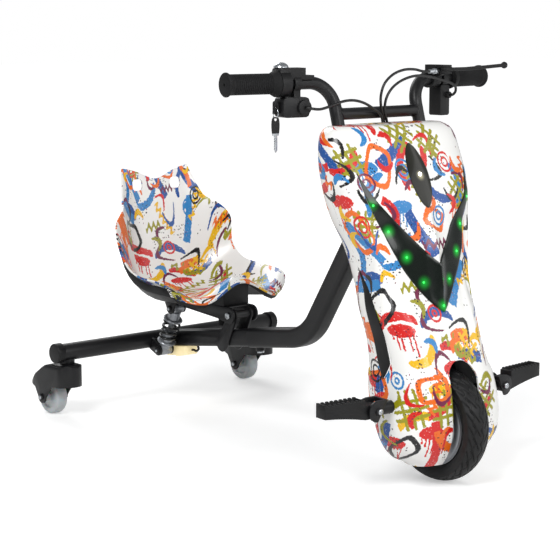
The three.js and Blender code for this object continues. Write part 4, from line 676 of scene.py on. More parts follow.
def lattice_bars(along: str, across: str) -> tuple[tuple, ...]:
    """Give the rows for the three bars of a lattice that run one way.

    Args:
        along: The way along the bars.
        across: The way across them.

    Returns:
        The rows, the last named for the way along.
    """
    return (("out", "ABSOLUTE", along), ("end", "MULTIPLY", "grow", "reach"),
            ("past", "SUBTRACT", "out", "end"), ("over", "MAXIMUM", "past", 0.0),
            ("aside", "ABSOLUTE", across), ("beside", "SUBTRACT", "aside", "bars_apart"),
            ("outer", "ABSOLUTE", "beside"), ("off", "MINIMUM", "aside", "outer"),
            ("over2", "MULTIPLY", "over", "over"), ("off2", "MULTIPLY", "off", "off"),
            ("sum", "ADD", "over2", "off2"), (f"bars_{along}", "SQRT", "sum"))


class Stamp(Enum):
    """Forms of mark in the splash print, each by the rows of its distance."""

    STROKE = (FROM_MIDDLE[0], ("arch", "MULTIPLY", "x2", "bend"), ("off", "ADD", "y", "arch"), *ROUND_END)
    WAVE = (("phase", "MULTIPLY", "x", "wave_rate"), ("sine", "SINE", "phase"),
            ("wave", "MULTIPLY", "sine", "wave_height"), ("shifted", "ADD", "y", "wave"),
            ("off", "MULTIPLY", "shifted", 0.6), *ROUND_END)
    RINGS = (*FROM_MIDDLE, ("sum", "ADD", "x2", "y2"), ("far", "SQRT", "sum"),
             ("middle", "MULTIPLY", "grow", "rings_middle"), ("aside", "SUBTRACT", "far", "middle"),
             ("beside", "ABSOLUTE", "aside"), ("past", "SUBTRACT", "beside", "rings_apart"),
             ("distance", "ABSOLUTE", "past"))
    BAR = (*TO_END, ("leaning", "MULTIPLY_ADD", "x", 0.07, "y"), ("high", "ABSOLUTE", "leaning"),
           ("off", "SUBTRACT", "high", "bar_half"), ("most", "MAXIMUM", "past", "off"),
           ("distance", "ADD", "most", "thick"))
    BOX = (("wide", "MULTIPLY", "x", 0.8), ("high", "MULTIPLY", "y", 1.15),
           ("wide2", "MULTIPLY", "wide", "wide"), ("high2", "MULTIPLY", "high", "high"),
           ("wide4", "MULTIPLY", "wide2", "wide2"), ("high4", "MULTIPLY", "high2", "high2"),
           ("sum", "ADD", "wide4", "high4"), ("far", "POWER", "sum", 0.25),
           ("end", "MULTIPLY", "grow", "reach"), ("past", "SUBTRACT", "far", "end"),
           ("distance", "ABSOLUTE", "past"))
    LATTICE = (*lattice_bars("x", "y"), *lattice_bars("y", "x"), ("distance", "MINIMUM", "bars_x", "bars_y"))
    DRIP = (("part", "FLOORED_MODULO", "u", "pitch"), ("aside", "SUBTRACT", "part", "half_pitch"),
            ("beside", "ABSOLUTE", "aside"), ("down", "MULTIPLY", "v", -1.0),
            ("fall", "MULTIPLY", "length", "longest"), ("below", "SUBTRACT", "down", "fall"),
            ("out", "ABSOLUTE", "u"), ("inside", "SUBTRACT", "out", "spread"),
            ("narrow", "ADD", "beside", "thin"), ("lower", "ADD", "below", "thick"),
            ("tip", "MAXIMUM", "narrow", "lower"), ("inner", "ADD", "inside", "thick"),
            ("top", "MAXIMUM", "v", "inner"),
            ("trail", "MAXIMUM", "tip", "top"), ("flat", "MULTIPLY", "v", 2.1), ("u2", "MULTIPLY", "u", "u"),
            ("flat2", "MULTIPLY", "flat", "flat"), ("sum", "ADD", "u2", "flat2"), ("far", "SQRT", "sum"),
            ("blot", "SUBTRACT", "far", "core"), ("distance", "MINIMUM", "trail", "blot"))
    SPECK = (*FROM_MIDDLE, ("tall", "MULTIPLY", "y2", 1.6), ("sum", "ADD", "x2", "tall"),
             ("far", "SQRT", "sum"), ("end", "MULTIPLY", "grow", "core"),
             ("distance", "SUBTRACT", "far", "end"))


@dataclass(frozen=True)
class Marks:
    """One layer of marks scattered over the print: its form, spacing, size, share of cells and inks."""

    form: Stamp
    spacing_mm: float
    reach_mm: float
    thick_mm: float
    share: float
    inks: tuple[int, ...]
    shift: Pair
    rough_mm: float = 1.5
    curve: float = 0.0

    def sizes(self) -> dict[str, float]:
        """Work out the sizes that the rows name.

        Returns:
            The sizes, in metres.
        """
        reach, thick = self.reach_mm * MM, self.thick_mm * MM
        return {"reach": reach, "thick": thick, "core": reach - thick, "bend": self.curve / reach,
                "wave_rate": math.tau / (reach * 0.44), "wave_height": reach * 0.16,
                "rings_middle": reach * 0.72, "rings_apart": reach * 0.28, "bar_half": thick * 0.9,
                "bars_apart": reach * 0.56, "pitch": reach * 0.3, "half_pitch": reach * 0.15,
                "longest": reach * 1.9, "spread": reach * 0.8, "thin": thick * 0.62}


RED, BLUE, SKY, YELLOW = 0xD31B17, 0x164F9A, 0x2E82C2, 0xEDB90A
ORANGE, OLIVE, PLUM, BLACK = 0xEA6A12, 0x989418, 0x6E1740, 0x0E0D10


@dataclass(frozen=True)
class SplashPrint:
    """Gloss white moulded plastic with a film print of paint marks: strokes, drips, rings and the like."""

    name: str
    ground: int = 0xF4F3F0
    roughness: float = 0.27
    scale: float = 0.8
    layers: tuple[Marks, ...] = ()

    def build(self) -> Material:
        """Make the material.

        Returns:
            The material.
        """
        material, tree = blank(self.name)
        laid = add_node(tree, "ShaderNodeUVMap", uv_map="UVMap")
        uv = add_node(tree, "ShaderNodeMapping", {"Vector": laid, "Scale": (self.scale,) * 3})
        colour: Socket | tuple = linear(self.ground)
        for marks in self.layers:
            mask, ink = self.layer(tree, uv, marks)
            inputs = {0: mask, 6: colour, 7: ink}
            colour = add_node(tree, "ShaderNodeMix", inputs, data_type="RGBA").outputs[2]
        # The orange peel of moulded gloss plastic, about 4 mm from crest to crest.
        peel = add_node(tree, "ShaderNodeTexNoise", {"Vector": uv, "Scale": 260.0, "Detail": 1.0})
        bump = add_node(tree, "ShaderNodeBump", {"Strength": 0.05, "Distance": 0.4 * MM, "Height": peel})
        surfaced(tree, Base_Color=colour, Roughness=self.roughness, Normal=bump, Coat_Weight=0.15,
                 Coat_Roughness=0.12)
        return material

    def layer(self, tree: Tree, uv: bpy.types.Node,
              marks: Marks) -> tuple[bpy.types.Node, bpy.types.Node]:
        """Scatter one layer of marks.

        Args:
            tree: The material's nodes.
            uv: Places on the surface, in metres.
            marks: The layer.

        Returns:
            The mask's and the ink's nodes.
        """
        rough = marks.rough_mm * MM
        moved = add_node(tree, "ShaderNodeMapping", {"Vector": uv, "Location": (*marks.shift, 0.0)})
        # A torn edge: places strayed by a noise about as wide as the raggedness.
        ragged = add_node(tree, "ShaderNodeTexNoise", {
            "Vector": moved, "Scale": 0.55 / rough, "Detail": 3.0, "Roughness": 0.65}, noise_dimensions="2D")
        place = ragged.outputs["Color"]
        for operation, operand in (("SUBTRACT", (0.5,) * 3), ("MULTIPLY", (rough * 1.6,) * 3),
                                   ("ADD", moved)):
            place = add_node(tree, "ShaderNodeVectorMath", {0: place, 1: operand}, operation=operation)
        # One mark in each cell, at a chance turn, size and ink.
        cells = add_node(tree, "ShaderNodeTexVoronoi", {
            "Vector": moved, "Scale": 1 / (marks.spacing_mm * MM), "Randomness": 0.8},
            voronoi_dimensions="2D")
        turn, pick_cell, size = add_node(
            tree, "ShaderNodeSeparateColor", {"Color": cells.outputs["Color"]}).outputs
        local = add_node(tree, "ShaderNodeVectorMath", {0: place, 1: cells.outputs["Position"]},
                         operation="SUBTRACT")
        angle = add_node(tree, "ShaderNodeMath", {0: turn, 1: math.tau}, operation="MULTIPLY")
        spun = add_node(tree, "ShaderNodeVectorRotate", {"Vector": local, "Angle": angle},
                        rotation_type="Z_AXIS")
        known: dict = marks.sizes()
        known["x"], known["y"], _ = add_node(tree, "ShaderNodeSeparateXYZ", {"Vector": spun}).outputs
        known["grow"] = add_node(tree, "ShaderNodeMath", {0: size, 1: 0.5, 2: 0.75}, operation="MULTIPLY_ADD")
        if marks.form is Stamp.DRIP:
            known["u"], known["v"], _ = add_node(tree, "ShaderNodeSeparateXYZ", {"Vector": local}).outputs
            column = add_node(tree, "ShaderNodeMath", {0: known["u"], 1: known["pitch"]}, operation="DIVIDE")
            run = add_node(tree, "ShaderNodeMath", {0: column}, operation="FLOOR")
            seed = add_node(tree, "ShaderNodeMath", {0: turn, 1: 91.0, 2: run}, operation="MULTIPLY_ADD")
            known["length"] = add_node(tree, "ShaderNodeTexWhiteNoise", {"W": seed}, noise_dimensions="1D")
        for name, operation, *values in marks.form.value:
            inputs = {socket: known.get(value, value) for socket, value in enumerate(values)}
            known[name] = add_node(tree, "ShaderNodeMath", inputs, operation=operation)
        edge = add_node(tree, "ShaderNodeMapRange", {
            "Value": known["distance"], "From Min": known["thick"] + 0.2 * MM,
            "From Max": known["thick"] - 0.2 * MM, "To Min": 0.0, "To Max": 1.0})
        picked = add_node(tree, "ShaderNodeMath", {0: pick_cell, 1: marks.share}, operation="LESS_THAN")
        masks = [picked]
        if marks.form is Stamp.SPECK:
            # Specks fall in groups about 40 mm across.
            groups = add_node(tree, "ShaderNodeTexNoise", {"Vector": moved, "Scale": 26.0, "Detail": 1.0},
                              noise_dimensions="2D")
            masks.append(add_node(tree, "ShaderNodeMath", {0: groups, 1: 0.6}, operation="GREATER_THAN"))
        # Dry bristle streaks, 2.4 mm wide, let half the ground through.
        dry = add_node(tree, "ShaderNodeTexNoise", {"Vector": spun, "Scale": 420.0, "Detail": 2.0},
                       noise_dimensions="2D")
        masks.append(add_node(tree, "ShaderNodeMapRange", {
            "Value": dry, "From Min": 0.24, "From Max": 0.34, "To Min": 0.5, "To Max": 1.0}))
        mask = edge
        for other in masks:
            mask = add_node(tree, "ShaderNodeMath", {0: mask, 1: other}, operation="MULTIPLY")
        spread = add_node(tree, "ShaderNodeMath", {0: turn, 1: 7.31}, operation="MULTIPLY")
        tone = add_node(tree, "ShaderNodeMath", {0: spread}, operation="FRACT")
        ink = add_node(tree, "ShaderNodeValToRGB", {0: tone})
        ink.color_ramp.interpolation = "CONSTANT"
        stops = ink.color_ramp.elements
        stops.remove(stops[1])
        for index, code in enumerate(marks.inks):
            stop = stops[0] if index == 0 else stops.new(index / len(marks.inks))
            stop.color = linear(code)
        return mask, ink


@dataclass(frozen=True)
class LitLens:
    """Tinted gloss acrylic with small lamps shining through from behind."""

    name: str
    tint: int
    deep: int
    glow: int
    lamps: tuple[Place, ...]
    halo_mm: float
    power: float
    roughness: float = 0.12

    def build(self) -> Material:
        """Make the material.

        Returns:
            The material.
        """
        material, tree = blank(self.name)
        place = add_node(tree, "ShaderNodeTexCoord").outputs["Object"]
        total: bpy.types.Node | None = None
        for lamp in self.lamps:
            near = add_node(tree, "ShaderNodeVectorMath", {0: place, 1: at(*lamp)},
                            operation="DISTANCE").outputs["Value"]
            fall = add_node(tree, "ShaderNodeMapRange", {
                "Value": near, "From Min": 0.0, "From Max": self.halo_mm * MM, "To Min": 1.0, "To Max": 0.0})
            soft = add_node(tree, "ShaderNodeMath", {0: fall, 1: 2.4}, operation="POWER")
            total = soft if total is None else add_node(tree, "ShaderNodeMath", {0: total, 1: soft},
                                                        operation="MAXIMUM")
        # A tint that drifts over 55 mm, and wiping scratches drawn 1.1 mm wide so that they show.
        cloud = add_node(tree, "ShaderNodeTexNoise", {"Vector": place, "Scale": 18.0, "Detail": 3.0})
        power = add_node(tree, "ShaderNodeMath", {0: total, 1: self.power}, operation="MULTIPLY")
        scratch = add_node(tree, "ShaderNodeTexNoise", {"Vector": place, "Scale": 900.0})
        bump = add_node(tree, "ShaderNodeBump", {"Strength": 0.03, "Distance": 0.2 * MM, "Height": scratch})
        surfaced(tree, Base_Color=clouded(tree, cloud, self.tint, self.deep), Roughness=self.roughness,
                 Normal=bump, Emission_Color=linear(self.glow), Emission_Strength=power,
                 Specular_IOR_Level=0.3, Coat_Weight=0.15)
        return material


@dataclass(frozen=True)
class LampGlow:
    """The lit face of a small lamp: a bright centre in a coloured rim."""

    name: str
    colour: int
    strength: float

    def build(self) -> Material:
        """Make the material.

        Returns:
            The material.
        """
        material, tree = blank(self.name)
        place = add_node(tree, "ShaderNodeTexCoord").outputs["Object"]
        # The glow of the small chip is uneven over 1.4 mm.
        cells = add_node(tree, "ShaderNodeTexNoise", {"Vector": place, "Scale": 700.0})
        power = add_node(tree, "ShaderNodeMapRange", {
            "Value": cells, "To Min": self.strength * 0.8, "To Max": self.strength * 1.2})
        surfaced(tree, Base_Color=linear(self.colour), Roughness=0.2, Emission_Color=linear(self.colour),
                 Emission_Strength=power)
        return material


@dataclass(frozen=True)
class Cloudy:
    """A moulded piece that light enters: two colours in clouds, a fine grain and further sockets."""

    name: str
    colour: int
    other: int
    clouds_per_m: float
    detail: float
    grains_per_m: float
    grain: float
    sockets: tuple[tuple[str, object], ...]

    def build(self) -> Material:
        """Make the material.

        Returns:
            The material.
        """
        material, tree = blank(self.name)
        place = add_node(tree, "ShaderNodeTexCoord").outputs["Object"]
        cloud = add_node(tree, "ShaderNodeTexNoise", {
            "Vector": place, "Scale": self.clouds_per_m, "Detail": self.detail})
        grain = add_node(tree, "ShaderNodeTexNoise", {"Vector": place, "Scale": self.grains_per_m})
        bump = add_node(tree, "ShaderNodeBump", {
            "Strength": self.grain, "Distance": 0.3 * MM, "Height": grain})
        surfaced(tree, Base_Color=clouded(tree, cloud, self.colour, self.other), Normal=bump,
                 **dict(self.sockets))
        return material


# Form, spacing, half length, half width, share of cells, inks, shift, raggedness and bend.
PRINT_LAYERS = (
    Marks(Stamp.DRIP, 74, 19, 3, 0.75, (SKY, RED, YELLOW, BLUE, RED, ORANGE), (0.31, 0.17), 3),
    Marks(Stamp.BAR, 88, 33, 8.5, 0.62, (BLUE, SKY, RED, BLUE), (0.77, 0.03), 3),
    Marks(Stamp.STROKE, 66, 24, 6.2, 0.8, (RED, BLUE, ORANGE, RED, SKY, YELLOW), (0.07, 0.43), 3, 0.35),
    Marks(Stamp.LATTICE, 84, 20, 2.3, 0.6, (OLIVE, YELLOW, OLIVE, PLUM), (0.91, 0.57), 2.4),
    Marks(Stamp.BOX, 96, 17, 2.9, 0.55, (ORANGE, BLUE, ORANGE, BLACK), (0.13, 0.83), 2),
    Marks(Stamp.WAVE, 72, 25, 2.4, 0.6, (YELLOW, OLIVE, PLUM, ORANGE), (0.53, 0.11), 1.6),
    Marks(Stamp.RINGS, 66, 12, 1.5, 0.42, (BLACK, PLUM, SKY, RED), (0.19, 0.71), 1.5),
    Marks(Stamp.STROKE, 50, 16, 3.6, 0.75, (PLUM, BLACK, OLIVE, BLUE, RED, BLACK), (0.87, 0.29), 2, 1.1),
    Marks(Stamp.STROKE, 44, 9, 4.4, 0.55, (YELLOW, RED, SKY, ORANGE, OLIVE), (0.41, 0.91), 2.2, -0.5),
    Marks(Stamp.SPECK, 4.6, 1.15, 0.3, 0.5, (BLACK, BLACK, PLUM), (0.63, 0.37), 0.9),
)

# The small lamps behind the covers: four down each arm of the V, one at its point, and the headlamp.
ARM_LAMPS = ((112, 60, 479), (86, 44, 434), (60, 26, 390), (31, 9, 346))
GREEN_LAMPS = (*((side * x, y, z) for side, _ in SIDES for x, y, z in ARM_LAMPS), (0, -6, 305))
HEAD_LAMP = (0.0, 52.0, 524.0)


class Finish(Enum):
    """The finishes, by what the real surface is."""

    # Powder paint baked on steel tube: satin black with a soft peel, drawn at 0.7 mm so that it shows.
    POWDER_COAT = Coating("powder_coated_steel", 0x141416, 0x0E0E10, roughness=0.4, grain_mm=0.7, grain=0.2,
                          drift_mm=60, coat=0.05, shine=0.36)
    # Injection-moulded ABS from a lightly sparked tool: flat black with a 0.5 mm grain that breaks its gloss.
    ABS = Coating("moulded_black_abs", 0x101012, 0x0B0B0C, roughness=0.48, grain_mm=0.5, grain=0.25,
                  shine=0.34)
    # Soft moulded rubber: the dullest black, its 0.8 mm grain worn by hands.
    RUBBER = Coating("moulded_grip_rubber", 0x0E0E10, 0x09090A, roughness=0.72, grain_mm=0.8, grain=0.5,
                     shine=0.34)
    # Rubber cured against a steel mould: dark grey, half matt, with a 0.9 mm grain.
    TYRE = Coating("vulcanised_tyre_rubber", 0x161617, 0x0E0E0F, roughness=0.5, grain_mm=0.9, grain=0.4,
                   drift_mm=30, shine=0.34)
    # Zinc plate on turned steel: cool and bright, its turning marks drawn at 0.4 mm.
    STEEL = Coating("zinc_plated_steel", 0xC4C8CC, 0xAEB2B6, roughness=0.26, metallic=1.0, grain_mm=0.4,
                    grain=0.1, drift_mm=20)
    # Die-cast aluminium, tumbled: dull grey metal with a 1.1 mm cast skin.
    ALUMINIUM = Coating("cast_aluminium", 0x9B9EA3, 0x84878C, roughness=0.42, metallic=0.9, grain_mm=1.1,
                        grain=0.35, drift_mm=25)
    # Stoved enamel with a metallic pigment: an even grey under a thin clear gloss.
    GREY = Coating("grey_stove_enamel", 0xA3A6AB, 0x8A8D92, roughness=0.3, metallic=0.5, grain=0.12,
                   drift_mm=30, coat=0.3)
    # Dipped enamel on spring wire: wet-looking black with faint 0.4 mm runs.
    SPRING = Coating("black_spring_enamel", 0x0F0F10, 0x09090A, roughness=0.33, metallic=0.2, grain_mm=0.4,
                     grain=0.1, drift_mm=20, coat=0.3)
    # Extruded PVC: smooth black with a low gloss, its die lines drawn at 0.4 mm.
    CABLE = Coating("extruded_pvc_sheath", 0x0F0F10, 0x0A0A0B, roughness=0.4, grain_mm=0.4, grain=0.1)
    # Shrink film pulled tight over cells: glossy blue with 2 mm creases.
    WRAP = Coating("battery_shrink_film", 0x2A4D7D, 0x203D66, roughness=0.3, grain_mm=2.0, grain=0.3)
    # Frosted lamp cover: warm cream in 22 mm clouds, its 1.1 mm frosting soft, with a faint glow painted on
    # to lighten the cream.
    WARM = Cloudy("frosted_warm_cover", 0xFBF0CE, 0xF3DFA6, 45.0, 2.0, 900.0, 0.1, (
        ("Roughness", 0.4), ("Emission_Color", linear(0xFFE9B0)), ("Emission_Strength", 0.42)))
    # Printed film over a moulded shell: strong flat inks with ragged edges on white, under an even gloss.
    PRINT = SplashPrint("printed_gloss_shell", layers=PRINT_LAYERS)
    # Cast translucent polyurethane: pale and milky, clouded over 17 mm, with a 1.4 mm grain from running.
    WHEEL = Cloudy("cast_polyurethane", 0xDCE0E2, 0xB4BABD, 60.0, 3.0, 700.0, 0.06, (
        ("Roughness", 0.28), ("Subsurface_Weight", 0.35), ("Subsurface_Scale", 0.01),
        ("Transmission_Weight", 0.25), ("Coat_Weight", 0.2)))
    # Dark acrylic over green lamps: near black, each lamp a small halo.
    GREEN = LitLens("dark_green_acrylic", 0x030805, 0x06140B, glow=0x12C83C, lamps=GREEN_LAMPS, halo_mm=17,
                    power=1.5, roughness=0.2)
    # Smoked acrylic over the white headlamp.
    SMOKE = LitLens("smoked_acrylic", 0x2E2E27, 0x1A1A16, glow=0xFFF6C8, lamps=(HEAD_LAMP,), halo_mm=13,
                    power=1.6, roughness=0.15)
    # The face of a small green lamp, lit: saturated, and brighter than all round it.
    GREEN_LED = LampGlow("green_lamp_face", 0x35F05A, 1.5)
    # The face of the headlamp, lit: a warm white, the brightest point of the scooter.
    WHITE_LED = LampGlow("white_lamp_face", 0xFFFCE8, 5.0)

    def made(self) -> Material:
        """The material, made once."""
        known = bpy.data.materials.get(self.value.name)
        return known if known is not None else self.value.build()


SLOT_FINISH = {"frame_paint": Finish.POWDER_COAT, "black_plastic": Finish.ABS, "rubber": Finish.RUBBER,
               "tyre_rubber": Finish.TYRE, "white_shell": Finish.PRINT, "bright_steel": Finish.STEEL,
               "cast_aluminium": Finish.ALUMINIUM, "grey_paint": Finish.GREY, "green_lens": Finish.GREEN,
               "smoked_lens": Finish.SMOKE, "pale_wheel": Finish.WHEEL, "warm_lens": Finish.WARM,
               "battery_wrap": Finish.WRAP}


# Assembly -------------------------------------------------------------------------------------------------


@dataclass
class Workshop:
    """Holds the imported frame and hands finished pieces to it."""

    frame: dict

    def body_of(self, node: str) -> str:
        """The body that carries a CAD node."""
        bodies = self.frame["record"]["behaviour"]["bodies"]
        return next(body for body, nodes in bodies.items() if node in nodes)

    def slot_of(self, node: str) -> str:
        """The material slot of a CAD node."""
        parts = self.frame["record"]["subparts"]
        return next(part["material_slot"] for part in parts if part["node"] == node)

    def fit(self, obj: Object, *nodes: str, finish: Finish | None = None, body: str = "",
            angle: float = 35) -> None:
        """Finish a piece and hang it on the body of the nodes that it stands for.

        Args:
            obj: The piece.
            nodes: The CAD nodes it stands for.
            finish: Its finish, or None to keep what it has or to take its slot's.
            body: The body, where it stands for no node.
            angle: Edges sharper than this stay sharp.
        """
        if finish is None and not obj.data.materials:
            finish = SLOT_FINISH[self.slot_of(nodes[0])]
        if finish is not None:
            obj.data.materials.clear()
            obj.data.materials.append(finish.made())
        smooth(obj, angle)
        body = body or self.body_of(nodes[0])
        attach(obj, body)
        if nodes:
            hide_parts(*nodes)
            self.slot_of(nodes[0])
        LOG.info("%s: %d faces on %s", obj.name, len(obj.data.polygons), body)

    def eased(self, node: str, width_mm: float, finish: Finish | None = None) -> Object:
        """Model a node's piece with its edges eased, as moulded and machined edges are.

        Args:
            node: The CAD node.
            width_mm: The ease's width.
            finish: The finish, or None for the slot's.

        Returns:
            The piece.
        """
        obj = twin(bpy.data.objects[node], f"{node}_dressed")
        for key in [key for key in obj.keys() if key.startswith("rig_")]:
            del obj[key]
        obj.data.materials.clear()
        # The loose triangles become whole faces first, so that only real edges are eased.
        in_edit(obj, lambda: bpy.ops.mesh.remove_doubles(threshold=2 * MERGE),
                lambda: bpy.ops.mesh.dissolve_limited(angle_limit=math.radians(0.6)))
        use(obj, "BEVEL", width=width_mm * MM, segments=2, limit_method="ANGLE", angle_limit=math.radians(38),
            use_clamp_overlap=True, miter_outer="MITER_ARC")
        self.fit(obj, node, finish=finish, angle=32)
        return obj

@dataclass
class FairingForm:
    """The fairing's sections, from the shares of its height, half width, front depth and rear depth."""

    bottom: float = 40.0
    height: float = 566.0
    half_width: float = 151.0
    front_depth: float = 92.0
    rear_depth: float = 72.0
    power: float = 3.0
    prow: float = 16.0
    prow_width: float = 22.0
    prow_span: tuple[float, ...] = (280.0, 345.0, 430.0, 490.0)
    cheek: Pair = (0.83, 0.98)
    step: float = 3.2
    ledge: float = 195.0
    ledge_half: float = 2.5
    step_end: float = 320.0
    pleat: float = 3.0
    pleat_side: float = 60.0
    pleat_spread: float = 28.0
    pleat_width: float = 15.0
    pleat_span: tuple[float, ...] = (30.0, 360.0, 420.0)
    shares: tuple[tuple[float, float, float, float], ...] = (
        (0, 0.52, 0.38, 0.69), (0.03, 0.65, 0.55, 0.82), (0.085, 0.762, 0.76, 0.84),
        (0.175, 0.775, 0.93, 0.95), (0.28, 0.715, 1, 0.93), (0.37, 0.705, 0.92, 0.81),
        (0.46, 0.74, 0.815, 0.735), (0.53, 0.722, 0.9, 0.79), (0.635, 0.775, 0.967, 0.835),
        (0.74, 0.914, 0.913, 0.85), (0.845, 0.993, 0.815, 0.69), (0.92, 1, 0.715, 0.53),
        (0.97, 0.967, 0.645, 0.39), (0.99, 0.915, 0.575, 0.3), (1, 0.834, 0.49, 0.23))

    def section(self, z: float) -> Place:
        """Measure the section at a height.

        Args:
            z: The height.

        Returns:
            Its half width, the depth of its middle and its half depth.
        """
        share = min(max((z - self.bottom) / self.height, 0), 1)
        half, front, rear = (table_curve(self.shares, column, share) for column in (1, 2, 3))
        front, rear = front * self.front_depth, rear * self.rear_depth
        return half * self.half_width, axis_depth(z) + (rear - front) / 2, (front + rear) / 2

    def hollow(self, x: float, z: float) -> float:
        """Find how far the front face falls back beside its middle crease, between the cheeks.

        Args:
            x: The place sideways.
            z: The height.

        Returns:
            The distance.
        """
        start, full, wane, end = self.prow_span
        high = ramp(z, start, full) * (1 - ramp(z, wane, end))
        share = abs(x) / self.section(z)[0]
        return self.prow * high * (1 - math.exp(-abs(x) / self.prow_width)) * (1 - ramp(share, *self.cheek))

    def waist(self, z: float) -> float:
        """How far the skin stands in above the wheel guard's edge."""
        above = ramp(z, self.ledge - self.ledge_half, self.ledge + self.ledge_half)
        return self.step * above * (1 - ramp(z, self.ledge + 2 * self.ledge_half, self.step_end))

    def fold(self, x: float, z: float) -> float:
        """Find how far the skin stands in beside the fold from the light cover to the wheel guard.

        Args:
            x: The place sideways.
            z: The height.

        Returns:
            The distance.
        """
        line = self.pleat_side + self.pleat_spread * (z - self.ledge) / 200
        rise, wane, end = self.pleat_span
        high = ramp(z, self.ledge, self.ledge + rise) * (1 - ramp(z, wane, end))
        return self.pleat * high * min(abs(abs(x) - line) / self.pleat_width, 1)

    def swell(self, share: float) -> float:
        """How far out a section is at a share of its way across, as a share."""
        return max(1 - min(abs(share), 1) ** self.power, 0) ** (1 / self.power)

    def front(self, x: float, z: float) -> float:
        """How far back the front face is at a place seen from ahead."""
        half, middle, depth = self.section(z)
        return middle - depth * self.swell(x / half) + self.hollow(x, z) + self.waist(z) + self.fold(x, z)

    def side(self, y: float, z: float) -> float:
        """How far out the side face is at a place seen from the side."""
        half, middle, depth = self.section(z)
        return half * self.swell((y - middle) / depth)

    def loop(self, z: float, count: int) -> np.ndarray:
        """Evenly spaced points round the section at a height, from the middle of its rear face.

        Args:
            z: The height.
            count: Steps round.

        Returns:
            Points (x, y) and, as a third column, the distance run.
        """
        half, middle, depth = self.section(z)
        angle = np.linspace(0, math.tau, 1441) + math.pi / 2
        c, s = np.cos(angle), np.sin(angle)
        e = 2 / self.power
        xs = half * np.sign(c) * np.abs(c) ** e
        ys = middle + depth * np.sign(s) * np.abs(s) ** e
        run = np.concatenate([[0], np.cumsum(np.hypot(np.diff(xs), np.diff(ys)))])
        even = np.linspace(0, run[-1], count + 1)
        xs, ys = np.interp(even, run, xs), np.interp(even, run, ys)
        inset = self.waist(z)
        xs, ys = xs * (1 - inset / half), middle + (ys - middle) * (1 - inset / depth)
        # The hollow and the fold are on the front face alone and die out 12 mm ahead of the middle.
        back = [(self.hollow(x, z) + self.fold(x, z)) * ramp(middle - y, 0, 12) for x, y in zip(xs, ys)]
        return np.stack([xs, ys + np.array(back), even], 1)


